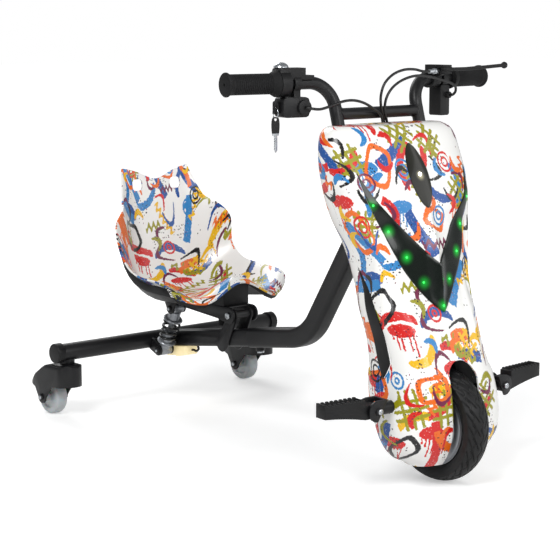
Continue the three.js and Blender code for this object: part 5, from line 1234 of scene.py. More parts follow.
@dataclass
class Fairing:
    """Two-part moulded fairing with its light covers and side inlays."""

    form: FairingForm = field(default_factory=FairingForm)
    round_steps: int = 150
    high_steps: int = 96
    crown_steps: int = 5
    crown_rise: float = 2.2
    crown_ahead: float = 12.0
    crown_run: float = 22.0
    wall: float = 3.0
    upright_side: float = 97.0
    bar_radius: float = 11.1
    peg_hole: Place = (0.0, -4.0, 145.0)
    slot_half: float = 33.0
    slot_spring: float = 183.0
    door: tuple[float, float, float, float] = (88.0, 30.0, 430.0, 118.0)
    lens_bottom: float = 295.0
    lens_height: float = 238.0
    lens_half: float = 127.0
    lens_set: float = 1.4
    ridge: float = 2.6
    ridge_half: float = 22.0
    lamp_bottom: float = 469.0
    lamp_height: float = 107.0
    lamp_half: float = 22.5
    inlay_bottom: float = 88.0
    inlay_height: float = 193.0
    inlay_reach: float = -28.0

    def shell(self) -> Object:
        """Loft the outer skin, give it its wall and its print's map.

        Returns:
            The shell.
        """
        form = self.form
        rows = self.high_steps + self.crown_steps
        levels = []
        for i in range(self.high_steps + 1):
            even = i / self.high_steps
            # Rows crowd towards the top and the foot, where the form turns fastest.
            share = even + (even * even * (3 - 2 * even) - even) * 0.7
            levels.append(form.bottom + share * form.height)
        for edge in (form.ledge - form.ledge_half, form.ledge, form.ledge + form.ledge_half):
            levels[min(range(len(levels)), key=lambda i, edge=edge: abs(levels[i] - edge))] = edge
        loops = [form.loop(z, self.round_steps) for z in levels]
        top = loops[-1]
        centre = np.array([0, axis_depth(levels[-1]) - self.crown_ahead])

        def place(u: float, w: float) -> Vector:
            row = round(w * rows)
            column = round(u * self.round_steps)
            if row <= self.high_steps:
                x, y, _ = loops[row][column]
                return at(x, y, levels[row])
            shrink = 1 - (row - self.high_steps) / self.crown_steps
            x, y = centre + (top[column, :2] - centre) * shrink
            return at(x, y, levels[-1] + self.crown_rise * (1 - shrink ** 2))

        obj = placed_grid("fairing_shell", self.round_steps, rows, place)
        uv = obj.data.uv_layers[0].data
        for loop in obj.data.loops:
            u, row = uv[loop.index].uv[0] + 0.5, round(uv[loop.index].uv[1] * rows)
            level = min(row, self.high_steps)
            spread = 1 if row <= self.high_steps else 1 - (row - self.high_steps) / self.crown_steps
            uv[loop.index].uv = ((u - 0.5) * loops[level][-1, 2] * spread * MM,
                                 (levels[level] + self.crown_run * (row - level)) * MM)
        face_outwards(obj)
        obj.data.materials.append(Finish.PRINT.made())
        # The shell's inner face takes the black ABS finish: painted shade for the dark inside seen through
        # its openings.
        obj.data.materials.append(Finish.ABS.made())
        use(obj, "SOLIDIFY", thickness=self.wall * MM, offset=-1, use_even_offset=False, material_offset=1,
            material_offset_rim=0)
        return obj

    def cutters(self) -> list[Object]:
        """Make solids of the openings: covers, wheel slot, inlays, pegs, uprights, leads and rear door.

        Returns:
            The solids.
        """
        up = Vector((0, math.sin(RAKE), math.cos(RAKE)))
        tools = []
        for name, outline, far in (
                ("cut_lens", grown(self.lens_outline(24), FIT_GAP + 0.2), 95),
                ("cut_headlamp", grown(self.lamp_outline(48), FIT_GAP + 0.2), 125),
                ("cut_slot", arched(self.slot_half, 30, self.slot_spring, self.slot_half, 33), -8)):
            tools.append(prism(name, outline, lambda a, b, k, far=far: at(a, (-150, far)[k], b)))
        inlay = grown(self.inlay_outline(16), FIT_GAP + 0.1)
        tools.append(prism("cut_inlay", inlay, lambda a, b, k: on_steering((-300, 300)[k], a, b)))
        for side, _ in SIDES:
            out = Vector((side * math.cos(PEG_SWEEP), math.sin(PEG_SWEEP), 0))
            tools.append(turned("cut_peg", rod_profile(11.8, 0, 170), at(*self.peg_hole), out, 40))
            tools.append(turned("cut_upright", rod_profile(self.bar_radius + 0.8, 470, 620),
                                on_steering(side * self.upright_side, 0, 0), up, 40))
        leads = at(4, axis_depth(606) - 9, 0)
        tools.append(turned("cut_leads", rod_profile(10, 590, 640), leads, Vector((0, 0, 1)), 40))
        tools.append(prism("cut_door", arched(*self.door, 41),
                           lambda a, b, k: at(a, axis_depth(b) + (6, 160)[k], b)))
        return tools

    def lens_outline(self, steps: int) -> list[Pair]:
        """Draw the V of the light cover, seen from ahead.

        Args:
            steps: Steps along each edge of an arm.

        Returns:
            Its points.
        """
        outer, inner = self.lens_curves()
        half = [bezier(outer, i / steps) for i in range(steps + 1)]
        half += [bezier(inner, i / steps) for i in range(1, steps + 1)]
        half = [(self.drawn_in(x, z), z) for x, z in half]
        return half + [(-x, z) for x, z in reversed(half) if x > 0.01]

    def drawn_in(self, x: float, z: float) -> float:
        """Draw a place on the cover inwards as the face falls back, so that it keeps its line.

        Args:
            x: The place sideways, on a flat face.
            z: Its height.

        Returns:
            The place sideways.
        """
        inner = x
        for _ in range(12):
            inner = max(x - 0.845 * self.form.hollow(inner, z), 0)
        return inner

    def lens_curves(self) -> tuple[list[Pair], ...]:
        """The outer and inner curve of one arm, from the point at the bottom to the tip and back."""
        curves = (((0, 0), (0.55, 0.17), (0.88, 0.42), (1, 1)), ((1, 1), (0.88, 0.8), (0.5, 0.5), (0, 0.34)))
        return tuple([(x * self.lens_half, self.lens_bottom + y * self.lens_height) for x, y in curve]
                     for curve in curves)

    def lamp_outline(self, steps: int) -> list[Pair]:
        """Draw the headlamp's pointed oval.

        Args:
            steps: Points round it.

        Returns:
            Its points.
        """
        middle = self.lamp_bottom + self.lamp_height / 2
        outline = []
        for i in range(steps):
            angle = math.tau * i / steps
            swell = math.copysign(abs(math.sin(angle)) ** 1.3, math.sin(angle))
            outline.append((self.lamp_half * swell, middle - self.lamp_height / 2 * math.cos(angle)))
        return outline

    def inlay_edges(self, share: float) -> Pair:
        """Find the front and back edges of the side inlay.

        Args:
            share: The share of its height.

        Returns:
            How far each edge is behind the steering axis.
        """
        knee, tip = 0.12, 0.3
        front_line = ((0.02, 1, 0), (0.5, 0.77, 0), (0.85, 0.56, 0), (0.95, 0.3, 0), (1, knee, 0))
        line = [Vector(p) for p in front_line]
        if share >= knee:
            low, high = 0.0, 1.0
            for _ in range(24):
                mid = (low + high) / 2
                if smooth_point(line, mid).y > share:
                    low = mid
                else:
                    high = mid
            front = smooth_point(line, low).x
        else:
            front = tip + (1 - tip) * share / knee
        back = float(np.interp(share, (0, 0.07, 0.18, 1), (tip, 0.16, 0.03, 0.02)))
        return front * self.inlay_reach, back * self.inlay_reach

    def inlay_outline(self, steps: int) -> list[Pair]:
        """Draw the side inlay in the plane of the steering axis.

        Args:
            steps: Steps up it.

        Returns:
            Its points.
        """
        edges = [(*self.inlay_edges(i / steps), self.inlay_bottom + i / steps * self.inlay_height)
                 for i in range(steps + 1)]
        return [(front, up) for front, _, up in reversed(edges)] + [(back, up) for _, back, up in edges[1:-1]]

    def cover_face(self, x: float, z: float) -> float:
        """How far back the V cover's face is: let in, with a ridge down its middle."""
        return self.form.front(x, z) - self.lens_set - self.ridge * max(0, 1 - abs(x) / self.ridge_half)

    def light_cover(self) -> Object:
        """Model the V cover: two swept arms that meet in a crease at the bottom.

        Returns:
            The cover.
        """
        outer, inner = self.lens_curves()

        def place(u: float, w: float) -> Vector:
            t = abs(u * 2 - 1)
            (xo, zo), (xi, zi) = bezier(outer, t), bezier(inner, 1 - t)
            xo, xi = self.drawn_in(xo, zo), self.drawn_in(xi, zi)
            x, z = xi + (xo - xi) * w, zi + (zo - zi) * w
            return at(x if u >= 0.5 else -x, self.cover_face(x, z), z)

        obj = placed_grid("v_light_cover_dressed", 96, 12, place)
        face_outwards(obj, AHEAD)
        use(obj, "SOLIDIFY", thickness=3.5 * MM, offset=-1)
        ease(obj, 0.5, 50)
        return obj

    def headlamp(self) -> Object:
        """Model the headlamp's bulging lens.

        Returns:
            The lens.
        """
        steps = 72
        outline = self.lamp_outline(steps)
        middle = self.lamp_bottom + self.lamp_height / 2

        def place(u: float, w: float) -> Vector:
            x, z = outline[round(u * steps) % steps]
            x, z = x * w, middle + (z - middle) * w
            return at(x, self.form.front(x, z) - 1 - 2.4 * (1 - w * w), z)

        obj = placed_grid("headlamp_lens_dressed", steps, 10, place)
        face_outwards(obj, AHEAD)
        use(obj, "SOLIDIFY", thickness=3.2 * MM, offset=-1)
        return obj

    def inlay(self, side: int, name: str) -> Object:
        """Model a side inlay: a bowed black blade let into the fairing's flank.

        Args:
            side: 1 for the rider's left.
            name: The side's name.

        Returns:
            The inlay.
        """
        def place(u: float, w: float) -> Vector:
            front, back = self.inlay_edges(w)
            spot = steered(0, back + (front - back) * u, self.inlay_bottom + w * self.inlay_height)
            out = self.form.side(spot.y, spot.z) + 0.6 + 0.5 * (1 - (2 * u - 1) ** 2)
            return at(side * out, spot.y, spot.z)

        obj = placed_grid(f"side_inlay_{name}_dressed", 8, 64, place)
        face_outwards(obj, Vector((side, 0, 0)))
        use(obj, "SOLIDIFY", thickness=3 * MM, offset=-1)
        return obj

    def build(self, shop: Workshop) -> None:
        """Make the fairing's pieces.

        Args:
            shop: Where they go.
        """
        shell = self.shell()
        carve(shell, *self.cutters())
        block = [(-300, -100), (300, -100), (300, 700), (-300, 700)]
        for node, towards in (("fairing_front", 1), ("fairing_rear", -1)):
            half = twin(shell, f"{node}_dressed")
            gap = FIT_GAP / 2 * -towards
            carve(half, prism("cut_half", block, lambda a, b, k, gap=gap, towards=towards: on_steering(
                a, gap + (0, 400)[k] * towards, b)))
            ease(half, 0.5, 60, segments=1)
            shop.fit(half, node, angle=40)
        scrap(shell)
        shop.fit(self.light_cover(), "v_light_cover", angle=25)
        shop.fit(self.headlamp(), "headlamp_lens")
        for side, name in SIDES:
            shop.fit(self.inlay(side, name), f"side_inlay_{name}")
        led = [(0, 1.2), (1.2, 1.0), (1.9, 0.4), (2.1, -1.0), (0, -1.0)]
        for index, (x, _, z) in enumerate(GREEN_LAMPS):
            lamp = turned(f"green_lamp_{index}", led, at(x, self.cover_face(x, z), z), AHEAD, 16)
            shop.fit(lamp, finish=Finish.GREEN_LED, body="steering")
        x, _, z = HEAD_LAMP
        lamp = turned("head_lamp", [(0, 1.8), (2.5, 1.5), (3.8, 0.4), (4.2, -1.5), (0, -1.5)],
                      at(x, self.form.front(x, z) - 3.2, z), AHEAD, 24)
        shop.fit(lamp, finish=Finish.WHITE_LED, body="steering")


@dataclass
class Seat:
    """Bucket seat: one moulded shell over a black pan."""

    width: float = 300.0
    length: float = 300.0
    height: float = 262.0
    origin: Place = (0.0, 541.0, 210.0187)
    wall: float = 3.5
    front_round: float = 0.022
    top_round: float = 0.012
    shares: tuple = (
        ((0, 0.25), (0.284, 0.013, 0.12), (0.464, 0.13, 0.16)),
        ((0.063, 0.28), (0.284, 0.063, 0.151), (0.491, 0.165, 0.245)),
        ((0.23, 0.197), (0.284, 0.23, 0.136), (0.499, 0.28, 0.275)),
        ((0.397, 0.113), (0.284, 0.397, 0.124), (0.499, 0.445, 0.285)),
        ((0.563, 0.09), (0.284, 0.563, 0.124), (0.48, 0.6, 0.33)),
        ((0.713, 0.113), (0.267, 0.703, 0.159), (0.477, 0.7, 0.45)),
        ((0.813, 0.208), (0.25, 0.797, 0.235), (0.483, 0.733, 0.64)),
        ((0.863, 0.38), (0.234, 0.847, 0.387), (0.41, 0.767, 0.742)),
        ((0.903, 0.57), (0.201, 0.897, 0.578), (0.35, 0.85, 0.8)),
        ((0.93, 0.799), (0.166, 0.937, 0.818), (0.304, 0.915, 0.93)),
        ((0.95, 0.95), (0.15, 0.957, 1.01), (0.27, 0.965, 1.055)))
    hole: Place = (25.0, 23.0, 7.6)
    hole_side: float = 47.5
    hole_height: float = 238.5

    def point(self, u: float, w: float) -> Vector:
        """Place the shell's outer face.

        Args:
            u: The share across.
            w: The share along.

        Returns:
            The place, in the row frame.
        """
        def spot(x: float, y: float, z: float) -> Vector:
            across, along, up = self.origin
            return Vector((x * self.width + across, y * self.length + along, z * self.height + up))

        line = []
        for centre, mid, edge in self.shares:
            half = [spot(*mid), spot(*edge)]
            other = [Vector((-p.x, p.y, p.z)) for p in reversed(half)]
            line.append(smooth_point([*other, spot(0, *centre), *half], u))
        # The corners of the front and top edges are drawn in, so that they are round.
        corner = abs(2 * u - 1) ** 6
        start, drawn = self.front_round * corner, (self.front_round + self.top_round) * corner
        return at(*smooth_point(line, start + (1 - drawn) * w))

    def build(self, shop: Workshop) -> None:
        """Make the shell.

        Args:
            shop: Where it goes.
        """
        obj = placed_grid("seat_shell_dressed", 64, 110, self.point, size=(0.29, 0.52), middle=(0.62, 0.15))
        face_outwards(obj, Vector((0, -0.6, 0.8)))
        use(obj, "SOLIDIFY", thickness=self.wall * MM, offset=1, use_even_offset=False)
        hole = rounded_box(*self.hole)
        for side, _ in SIDES:
            carve(obj, prism("cut_harness", hole, lambda a, b, k, side=side: at(
                a + side * self.hole_side, 720 + k * 200, b + self.origin[2] + self.hole_height)))
        ease(obj, 1.2, 55, segments=3)
        shop.fit(obj, "seat_shell", angle=40)


@dataclass
class FrontWheel:
    """Pneumatic tyre with a wavy tread on a hub motor."""

    radius: float = 100.0
    width: float = 50.0
    shoulder: float = 9.0
    rim: float = 70.0
    waves: int = 26
    tread_radius: float = 92.0

    def tread_depth(self, angle: float, x: float) -> float:
        """Find the depth of the tread's grooves at a place on the crown.

        Args:
            angle: How far round.
            x: How far from the middle.

        Returns:
            The depth.
        """
        def groove(depth: float, half: float, wall: float, away: float) -> float:
            return depth * min(max(half - away, 0) / wall, 1)

        out = abs(x)
        pitch = self.tread_radius * math.tau / self.waves
        sweep = angle * self.tread_radius + (pitch / 2 if x > 0 else 0) + 0.9 * out ** 1.25
        side = 0.0
        if 4 < out < 24:
            side = groove(2.3, 1.9, 0.8, abs(sweep % pitch - pitch / 2)) * min((out - 4) / 2, 1)
        middle = groove(2.0, 1.5, 0.7, abs(x - 2.4 * math.sin(angle * self.waves)))
        line = 15.5 + 2.2 * math.sin(angle * self.waves + (math.pi if x > 0 else 0))
        return max(side, middle, groove(1.7, 1.2, 0.6, abs(out - line)))

    def build(self, shop: Workshop) -> None:
        """Make the tyre and the hub.

        Args:
            shop: Where they go.
        """
        bead, half = self.rim + 0.3, self.width / 2
        top = self.radius - self.shoulder
        side = [(bead, -18.0), (bead + 4, -21.0), ((bead + top) / 2, -half), (top - 2, -half),
                (top, -half + 0.2)]
        high = self.radius + self.shoulder
        crown = [((1 - t) ** 2 * top + 2 * t * (1 - t) * high + t * t * top,
                  ((1 - t) ** 2 - t * t) * (-half + 0.2)) for t in (i / 48 for i in range(1, 48))]
        profile = both_halves(side, crown)
        last = len(profile) - 1

        def place(u: float, w: float) -> Vector:
            r, x = profile[round(w * last)]
            angle = math.tau * u
            if r > top:
                r -= self.tread_depth(angle, x)
            return at(x, r * math.cos(angle), self.radius + r * math.sin(angle))

        tyre = placed_grid("front_tyre_dressed", 720, last, place)
        outward(tyre)
        shop.fit(tyre, "front_tyre", angle=50)
        hub = [(6.4, -29), (12, -29), (17, -29), (18, -28.4), (20, -26.2), (49, -23), (52, -22.2),
               (53.5, -20.6), (62, -19.2), (64, -18), (66.5, -18), (68, -20), (70, -20), (70, -18.6)]
        body = turned("hub_motor_dressed", both_halves(hub), at(0, 0, self.radius), Vector((1, 0, 0)), 96)
        shop.fit(body, "hub_motor", angle=30)
        head = [(0, 1.4), (0.8, 1.4), (1.1, 2.0), (2.2, 1.8), (2.8, 0.8), (2.8, -2.0), (0, -2.0)]
        screws, circle = 6, 38
        for side, name in SIDES:
            for i in range(screws):
                angle = math.tau * (i + 0.5) / screws
                spot = at(side * 24.2, circle * math.cos(angle), self.radius + circle * math.sin(angle))
                screw = turned(f"hub_screw_{name}_{i}", head, spot, Vector((side, 0, 0)), 16)
                shop.fit(screw, finish=Finish.STEEL, body="front_wheel")


@dataclass
class Handlebar:
    """Two bent uprights with a welded cross tube."""

    side: float = 97.0
    radius: float = 11.1
    bend: float = 46.0
    foot: float = 492.0
    grip_height: float = 679.0
    grip_radius: float = 17.5
    cross_height: float = 625.0
    cross_radius: float = 10.3
    sweep: float = math.radians(8)

    def corner(self, side: int) -> Vector:
        """The bend's corner, in millimetres."""
        return steered(side * self.side, 0, along_axis(self.grip_height))

    def outward_way(self, side: int) -> Vector:
        """The direction of the grip's end."""
        return Vector((side * math.cos(self.sweep), math.sin(self.sweep), 0))

    def grip_end(self) -> float:
        """How far the grip's end is from the bend's corner."""
        return (HALF_WIDTH - self.side - self.grip_radius * math.sin(self.sweep)) / math.cos(self.sweep)

    def spot(self, side: int, out: float, back: float = 0.0, up: float = 0.0) -> Vector:
        """Find a place by a grip.

        Args:
            side: 1 for the rider's left.
            out: How far out along it.
            back: How far towards the rider.
            up: How far up.

        Returns:
            The place, in the row frame.
        """
        way = self.outward_way(side)
        rear = Vector((-way.y * side, way.x * side, 0))
        return at(*(self.corner(side) + way * out + rear * back + Vector((0, 0, up))))

    def build(self, shop: Workshop) -> None:
        """Make the bar.

        Args:
            shop: Where it goes.
        """
        tubes = []
        for side, _ in SIDES:
            corner = self.corner(side)
            end = corner + self.outward_way(side) * (self.grip_end() - 4)
            stations = bent_line([steered(side * self.side, 0, self.foot), corner, end], self.bend, 24)
            tubes.append(swept("tube", [at(*p) for p in stations], ring(self.radius, 40)))
        height = along_axis(self.cross_height)
        cross = swept("cross", [on_steering(x, 0, height) for x in np.linspace(-self.side, self.side, 9)],
                      ring(self.cross_radius, 36))
        bar = tubes[0]
        carve(bar, cross, tubes[1], keep="UNION")
        bar.name = bar.data.name = "handlebar_dressed"
        shop.fit(bar, "handlebar", angle=40)
        for side, name in SIDES:
            seam = []
            for y, z in ring(self.cross_radius, 48):
                inward = self.side - math.sqrt(max(self.radius ** 2 - y * y, 0)) - 0.6
                seam.append(on_steering(side * inward, y, height + z))
            bead = swept(f"weld_{name}", seam, ring(1.5, 10), closed=True)
            shop.fit(bead, finish=Finish.POWDER_COAT, body="steering")


@dataclass
class Grips:
    """Moulded grips: fine ribs between a flared inner end and an end flange."""

    bar: Handlebar
    length: float = 101.0
    flange: float = 20.5
    ribs: int = 21
    rib_depth: float = 0.9

    def grip(self, name: str, side: int, flare: float) -> Object:
        """Turn one grip.

        Args:
            name: The object's name.
            side: 1 for the rider's left.
            flare: The inner end's radius.

        Returns:
            The grip.
        """
        radius, flange, bore = self.bar.grip_radius, self.flange, 11.4
        end = self.bar.grip_end()
        start = end - self.length
        profile = [(bore, start), (flare - 0.8, start), (flare, start + 0.9), (flare, start + 2.2),
                   (radius + 0.4, start + 11), (radius, start + 13)]
        first, last = start + 14.5, end - 12
        pitch = (last - first) / self.ribs
        for i in range(self.ribs):
            base = first + i * pitch
            profile += [(radius, base), (radius - self.rib_depth, base + pitch * 0.14),
                        (radius - self.rib_depth, base + pitch * 0.34), (radius, base + pitch * 0.48)]
        profile += [(radius, last), (radius + 0.2, end - 8), (flange - 0.6, end - 5.4), (flange, end - 4.6),
                    (flange, end - 2.4), (flange - 1.4, end - 0.8), (radius - 1, end), (3.4, end),
                    (2.6, end - 0.6), (2.2, end - 3.6), (bore, end - 3.6), (bore, start)]
        return turned(name, profile, self.bar.spot(side, 0), self.bar.outward_way(side), 72)

    def build(self, shop: Workshop) -> None:
        """Make both grips."""
        shop.fit(self.grip("grip_left_dressed", 1, 20.5), "grip_left", angle=30)
        shop.fit(self.grip("throttle_grip_dressed", -1, 22.6), "throttle_grip", angle=30)


@dataclass
class Controls:
    """Housings on the bar, trimmed and split as moulded ones are."""

    bar: Handlebar
    block_inner: float = 59.0
    switch_out: float = 84.0
    seam_half: float = 0.5
    seam_depth: float = 1.0

    def build(self, shop: Workshop) -> None:
        """Make the throttle's block and the switch housing.

        Args:
            shop: Where they go.
        """
        block = shop.eased("throttle_housing", 1.0)
        end = prism("cut_block", [(30, -16), (self.block_inner, -16), (self.block_inner, 16), (30, 16)],
                    lambda a, b, k: self.bar.spot(-1, a, b, (13.5, 40)[k]))
        carve(block, end)
        ease(block, 0.8, 60)
        smooth(block, 32)
        switch = shop.eased("switch_housing", 2.6)
        near, far = self.switch_out - self.seam_half, self.switch_out + self.seam_half
        seam = prism("cut_seam", [(near, -40), (far, -40), (far, 40), (near, 40)],
                     lambda a, b, k: self.bar.spot(1, a, b, (-90, -12)[k]))
        # The seam is as deep as the housing stands out from a thinner copy of itself.
        core = twin(switch, "core")
        use(core, "DISPLACE", strength=-self.seam_depth * MM, mid_level=0.0)
        carve(seam, core)
        carve(switch, seam)
        smooth(switch, 32)


@dataclass
class MainFrame:
    """Square tubes: a bent front tube that a rear tube slides into."""

    width: float = 38.0
    corner: float = 9.0
    wall: float = 2.0
    rear_height: float = 132.0
    rise: float = math.radians(8.5)
    diagonal: float = math.radians(57.5)
    meets_axis: float = 438.0
    start: float = 283.0
    lock: float = 299.0
    bend: float = 95.0

    def on_rear(self, distance: float, up: float = 0.0) -> Vector:
        """A place ahead of the rear bar along the rear tube."""
        c, s = math.cos(self.rise), math.sin(self.rise)
        return Vector((0, WHEELBASE - distance * c + up * s, self.rear_height + distance * s + up * c))

    def build(self, shop: Workshop) -> None:
        """Make the tube with its head tube and lock boss.

        Args:
            shop: Where it goes.
        """
        start, meet = self.on_rear(0), steered(0, 0, self.meets_axis)
        way, gap = self.on_rear(1) - start, meet - start
        climb = Vector((0, -math.cos(self.diagonal), math.sin(self.diagonal)))
        distance = (gap.y * climb.z - gap.z * climb.y) / (way.y * climb.z - way.z * climb.y)
        corners = [self.on_rear(self.start), start + way * distance, meet - climb * 18]
        stations = bent_line(corners, self.bend, 28)
        sideways = Vector((1, 0, 0))
        outer = swept("frame_front_tube_dressed", [at(*p) for p in stations],
                      rounded_box(self.width, self.width, self.corner), up=sideways)
        room = self.width - 2 * self.wall
        hollow = swept("hollow", [at(*self.on_rear(ahead)) for ahead in (270, 300, 360)],
                       rounded_box(room, room, self.corner - self.wall), up=sideways)
        foot, axis = on_steering(0, 0, 0), Vector((0, math.sin(RAKE), math.cos(RAKE)))
        head = turned("head", [(0, 378), (20.2, 378), (21, 378.8), (21, 489.2), (20.2, 490), (0, 490)],
                      foot, axis, 56)
        bore = turned("bore", rod_profile(17, 370, 500), foot, axis, 40)
        boss = turned("boss", [(0, -2), (9, -2), (9, 6.2), (8.2, 7), (0, 7)],
                      at(*self.on_rear(self.lock, -self.width / 2)),
                      Vector((0, -math.sin(self.rise), -math.cos(self.rise))), 32)
        carve(outer, hollow)
        carve(outer, head, keep="UNION")
        carve(outer, bore)
        carve(outer, boss, keep="UNION")
        ease(outer, 0.5, 50)
        shop.fit(outer, "frame_front_tube", angle=32)


@dataclass
class Leads:
    """Control leads from the bar to the hole in the top of the fairing."""

    diameter: float = 4.8
    routes: dict[str, tuple] = field(default_factory=lambda: {
        "throttle_lead": ((-164.45, 165, 639), (-165.2, 160, 638.8), (-161, 154, 637.5), (-146, 150, 636),
                          (-124, 146, 641), (-100, 142, 648), (-78, 140, 649), (-55, 139, 644),
                          (-30, 141, 633), (-10, 144.5, 622), (-2.6, 147, 609), (-2, 147.2, 599)),
        "brake_cable": ((119.5, 156.95, 693), (109, 155.5, 693.1), (96, 152.5, 694.5), (72, 145, 698),
                        (40, 140, 698), (10, 137, 690), (-10, 136, 675), (-16, 138, 655), (-9, 144, 632),
                        (2, 149.5, 614), (5, 151.5, 599)),
        "floor_lamp_lead": ((0, 703.7, 117.7), (0, 697.8, 118.6), (0, 689.5, 117.4), (0, 681.9, 123.4),
                            (0, 683.7, 127.4), (0, 684.1, 129.7)),
        "switch_lead": ((187.6, 169.25, 649), (188.4, 164, 649.5), (189.5, 158.5, 655), (185, 154, 664),
                        (171, 151, 671), (155, 148.5, 675), (133, 147, 680), (105, 146, 685),
                        (80, 145, 687), (55, 144, 684), (30, 143, 676), (12, 143, 664), (2, 144, 648),
                        (1, 146, 628), (8, 148, 611), (10.5, 148, 599))})

    def build(self, shop: Workshop) -> None:
        """Args:
            shop: Where they go.
        """
        for node, route in self.routes.items():
            points = [Vector(p) for p in route]
            steps = (len(points) - 1) * 8
            line = [at(*smooth_point(points, i / steps)) for i in range(steps + 1)]
            lead = swept(f"{node}_dressed", line, ring(self.diameter / 2, 14))
            shop.fit(lead, node, finish=Finish.CABLE)


@dataclass
class Shock:
    """Coil spring round the damper."""

    foot: Place = (-38.0, 748.0, 117.0)
    head: Place = (-38.0, 705.0, 209.0187)
    coil_radius: float = 16.0
    wire: float = 5.5
    coils: float = 3.5
    stroke: float = 16.0
    foot_cup: float = 23.5
    head_cup: float = 29.5
    steps: int = 160

    def build(self, shop: Workshop) -> None:
        """Make the spring.

        Args:
            shop: Where it goes.
        """
        foot, head = Vector(self.foot), Vector(self.head)
        up = (head - foot).normalized()
        side = Vector((1, 0, 0)) * self.coil_radius
        back = up.cross(side)
        low = self.foot_cup + self.wire / 2 + 0.3
        high = (head - foot).length - self.head_cup - self.wire / 2 - 0.3
        line = []
        for i in range(self.steps + 1):
            share = i / self.steps
            angle = self.coils * math.tau * share
            rise = up * (low + (high - low) * share)
            line.append(at(*(foot + side * math.cos(angle) + back * math.sin(angle) + rise)))
        spring = swept("shock_spring_dressed", line, ring(self.wire / 2, 18))
        shop.fit(spring, "shock_spring", finish=Finish.SPRING)
        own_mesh(spring)


@dataclass
class Casters:
    """The caster wheels."""

    track: float = 494.0
    behind_bar: float = 58.0
    radius: float = 36.0

    def build(self, shop: Workshop) -> None:
        """Make the wheels.

        Args:
            shop: Where they go.
        """
        half = [(4.4, -23.1), (8.2, -23.1), (9, -22.4), (9, -10), (10.5, -8.8), (20, -8.6), (22.2, -9.2),
                (24.4, -12.2), (25.4, -12.5), (31, -12.5), (33.6, -11.6), (35.2, -9.6), (self.radius, -6.5)]
        for side, name in reversed(SIDES):
            centre = at(side * self.track / 2, WHEELBASE + self.behind_bar, self.radius)
            wheel = turned(f"caster_wheel_{name}_dressed", both_halves(half), centre, Vector((1, 0, 0)), 72)
            shop.fit(wheel, f"caster_wheel_{name}", angle=30)


@dataclass(frozen=True)
class BoltHead:
    """Bright domed bolt head set on the first face of a node that is met from a point outside."""

    name: str
    node: str
    start: Place
    aim: Place
    radius: float

    def build(self, shop: Workshop) -> None:
        """Make the head on its node's body.

        Args:
            shop: Where it goes.
        """
        aim, r = Vector(self.aim).normalized(), self.radius
        met, spot, _, _ = bpy.data.objects[self.node].ray_cast(at(*self.start), aim)
        if not met:
            LOG.info("%s: nothing met", self.name)
            return
        profile = [(0, 0.34 * r), (0.34 * r, 0.34 * r), (0.4 * r, 0.12 * r), (0.44 * r, 0.36 * r),
                   (0.72 * r, 0.3 * r), (0.93 * r, 0.14 * r), (r, -0.1 * r), (r, -0.5), (0, -0.5)]
        head = turned(self.name, profile, spot, -aim, 28)
        shop.fit(head, finish=Finish.STEEL, body=shop.body_of(self.node))


def bolt_heads() -> Iterator[BoltHead]:
    """List the bolt heads that show: peg pins, caster axles and the shock's ends.

    Yields:
        Each head.
    """
    for side, name in reversed(SIDES):
        yield BoltHead(f"peg_bolt_{name}", f"peg_bracket_{name}", (side * 153.5, -80, 145), (0, 1, 0), 5.2)
    for side, name in reversed(SIDES):
        for far in (-60, 60):
            where = "out" if far * side > 0 else "in"
            yield BoltHead(f"caster_bolt_{name}_{where}", f"caster_fork_{name}", (side * 247 + far, 842, 36),
                           (-far, 0, 0), 4.6)
    for end, bracket, place in (("low", "lower", (-90, 748, 117)), ("high", "upper", (-90, 705, 209))):
        yield BoltHead(f"shock_bolt_{end}_out", f"shock_{bracket}_bracket", place, (1, 0, 0), 3.6)


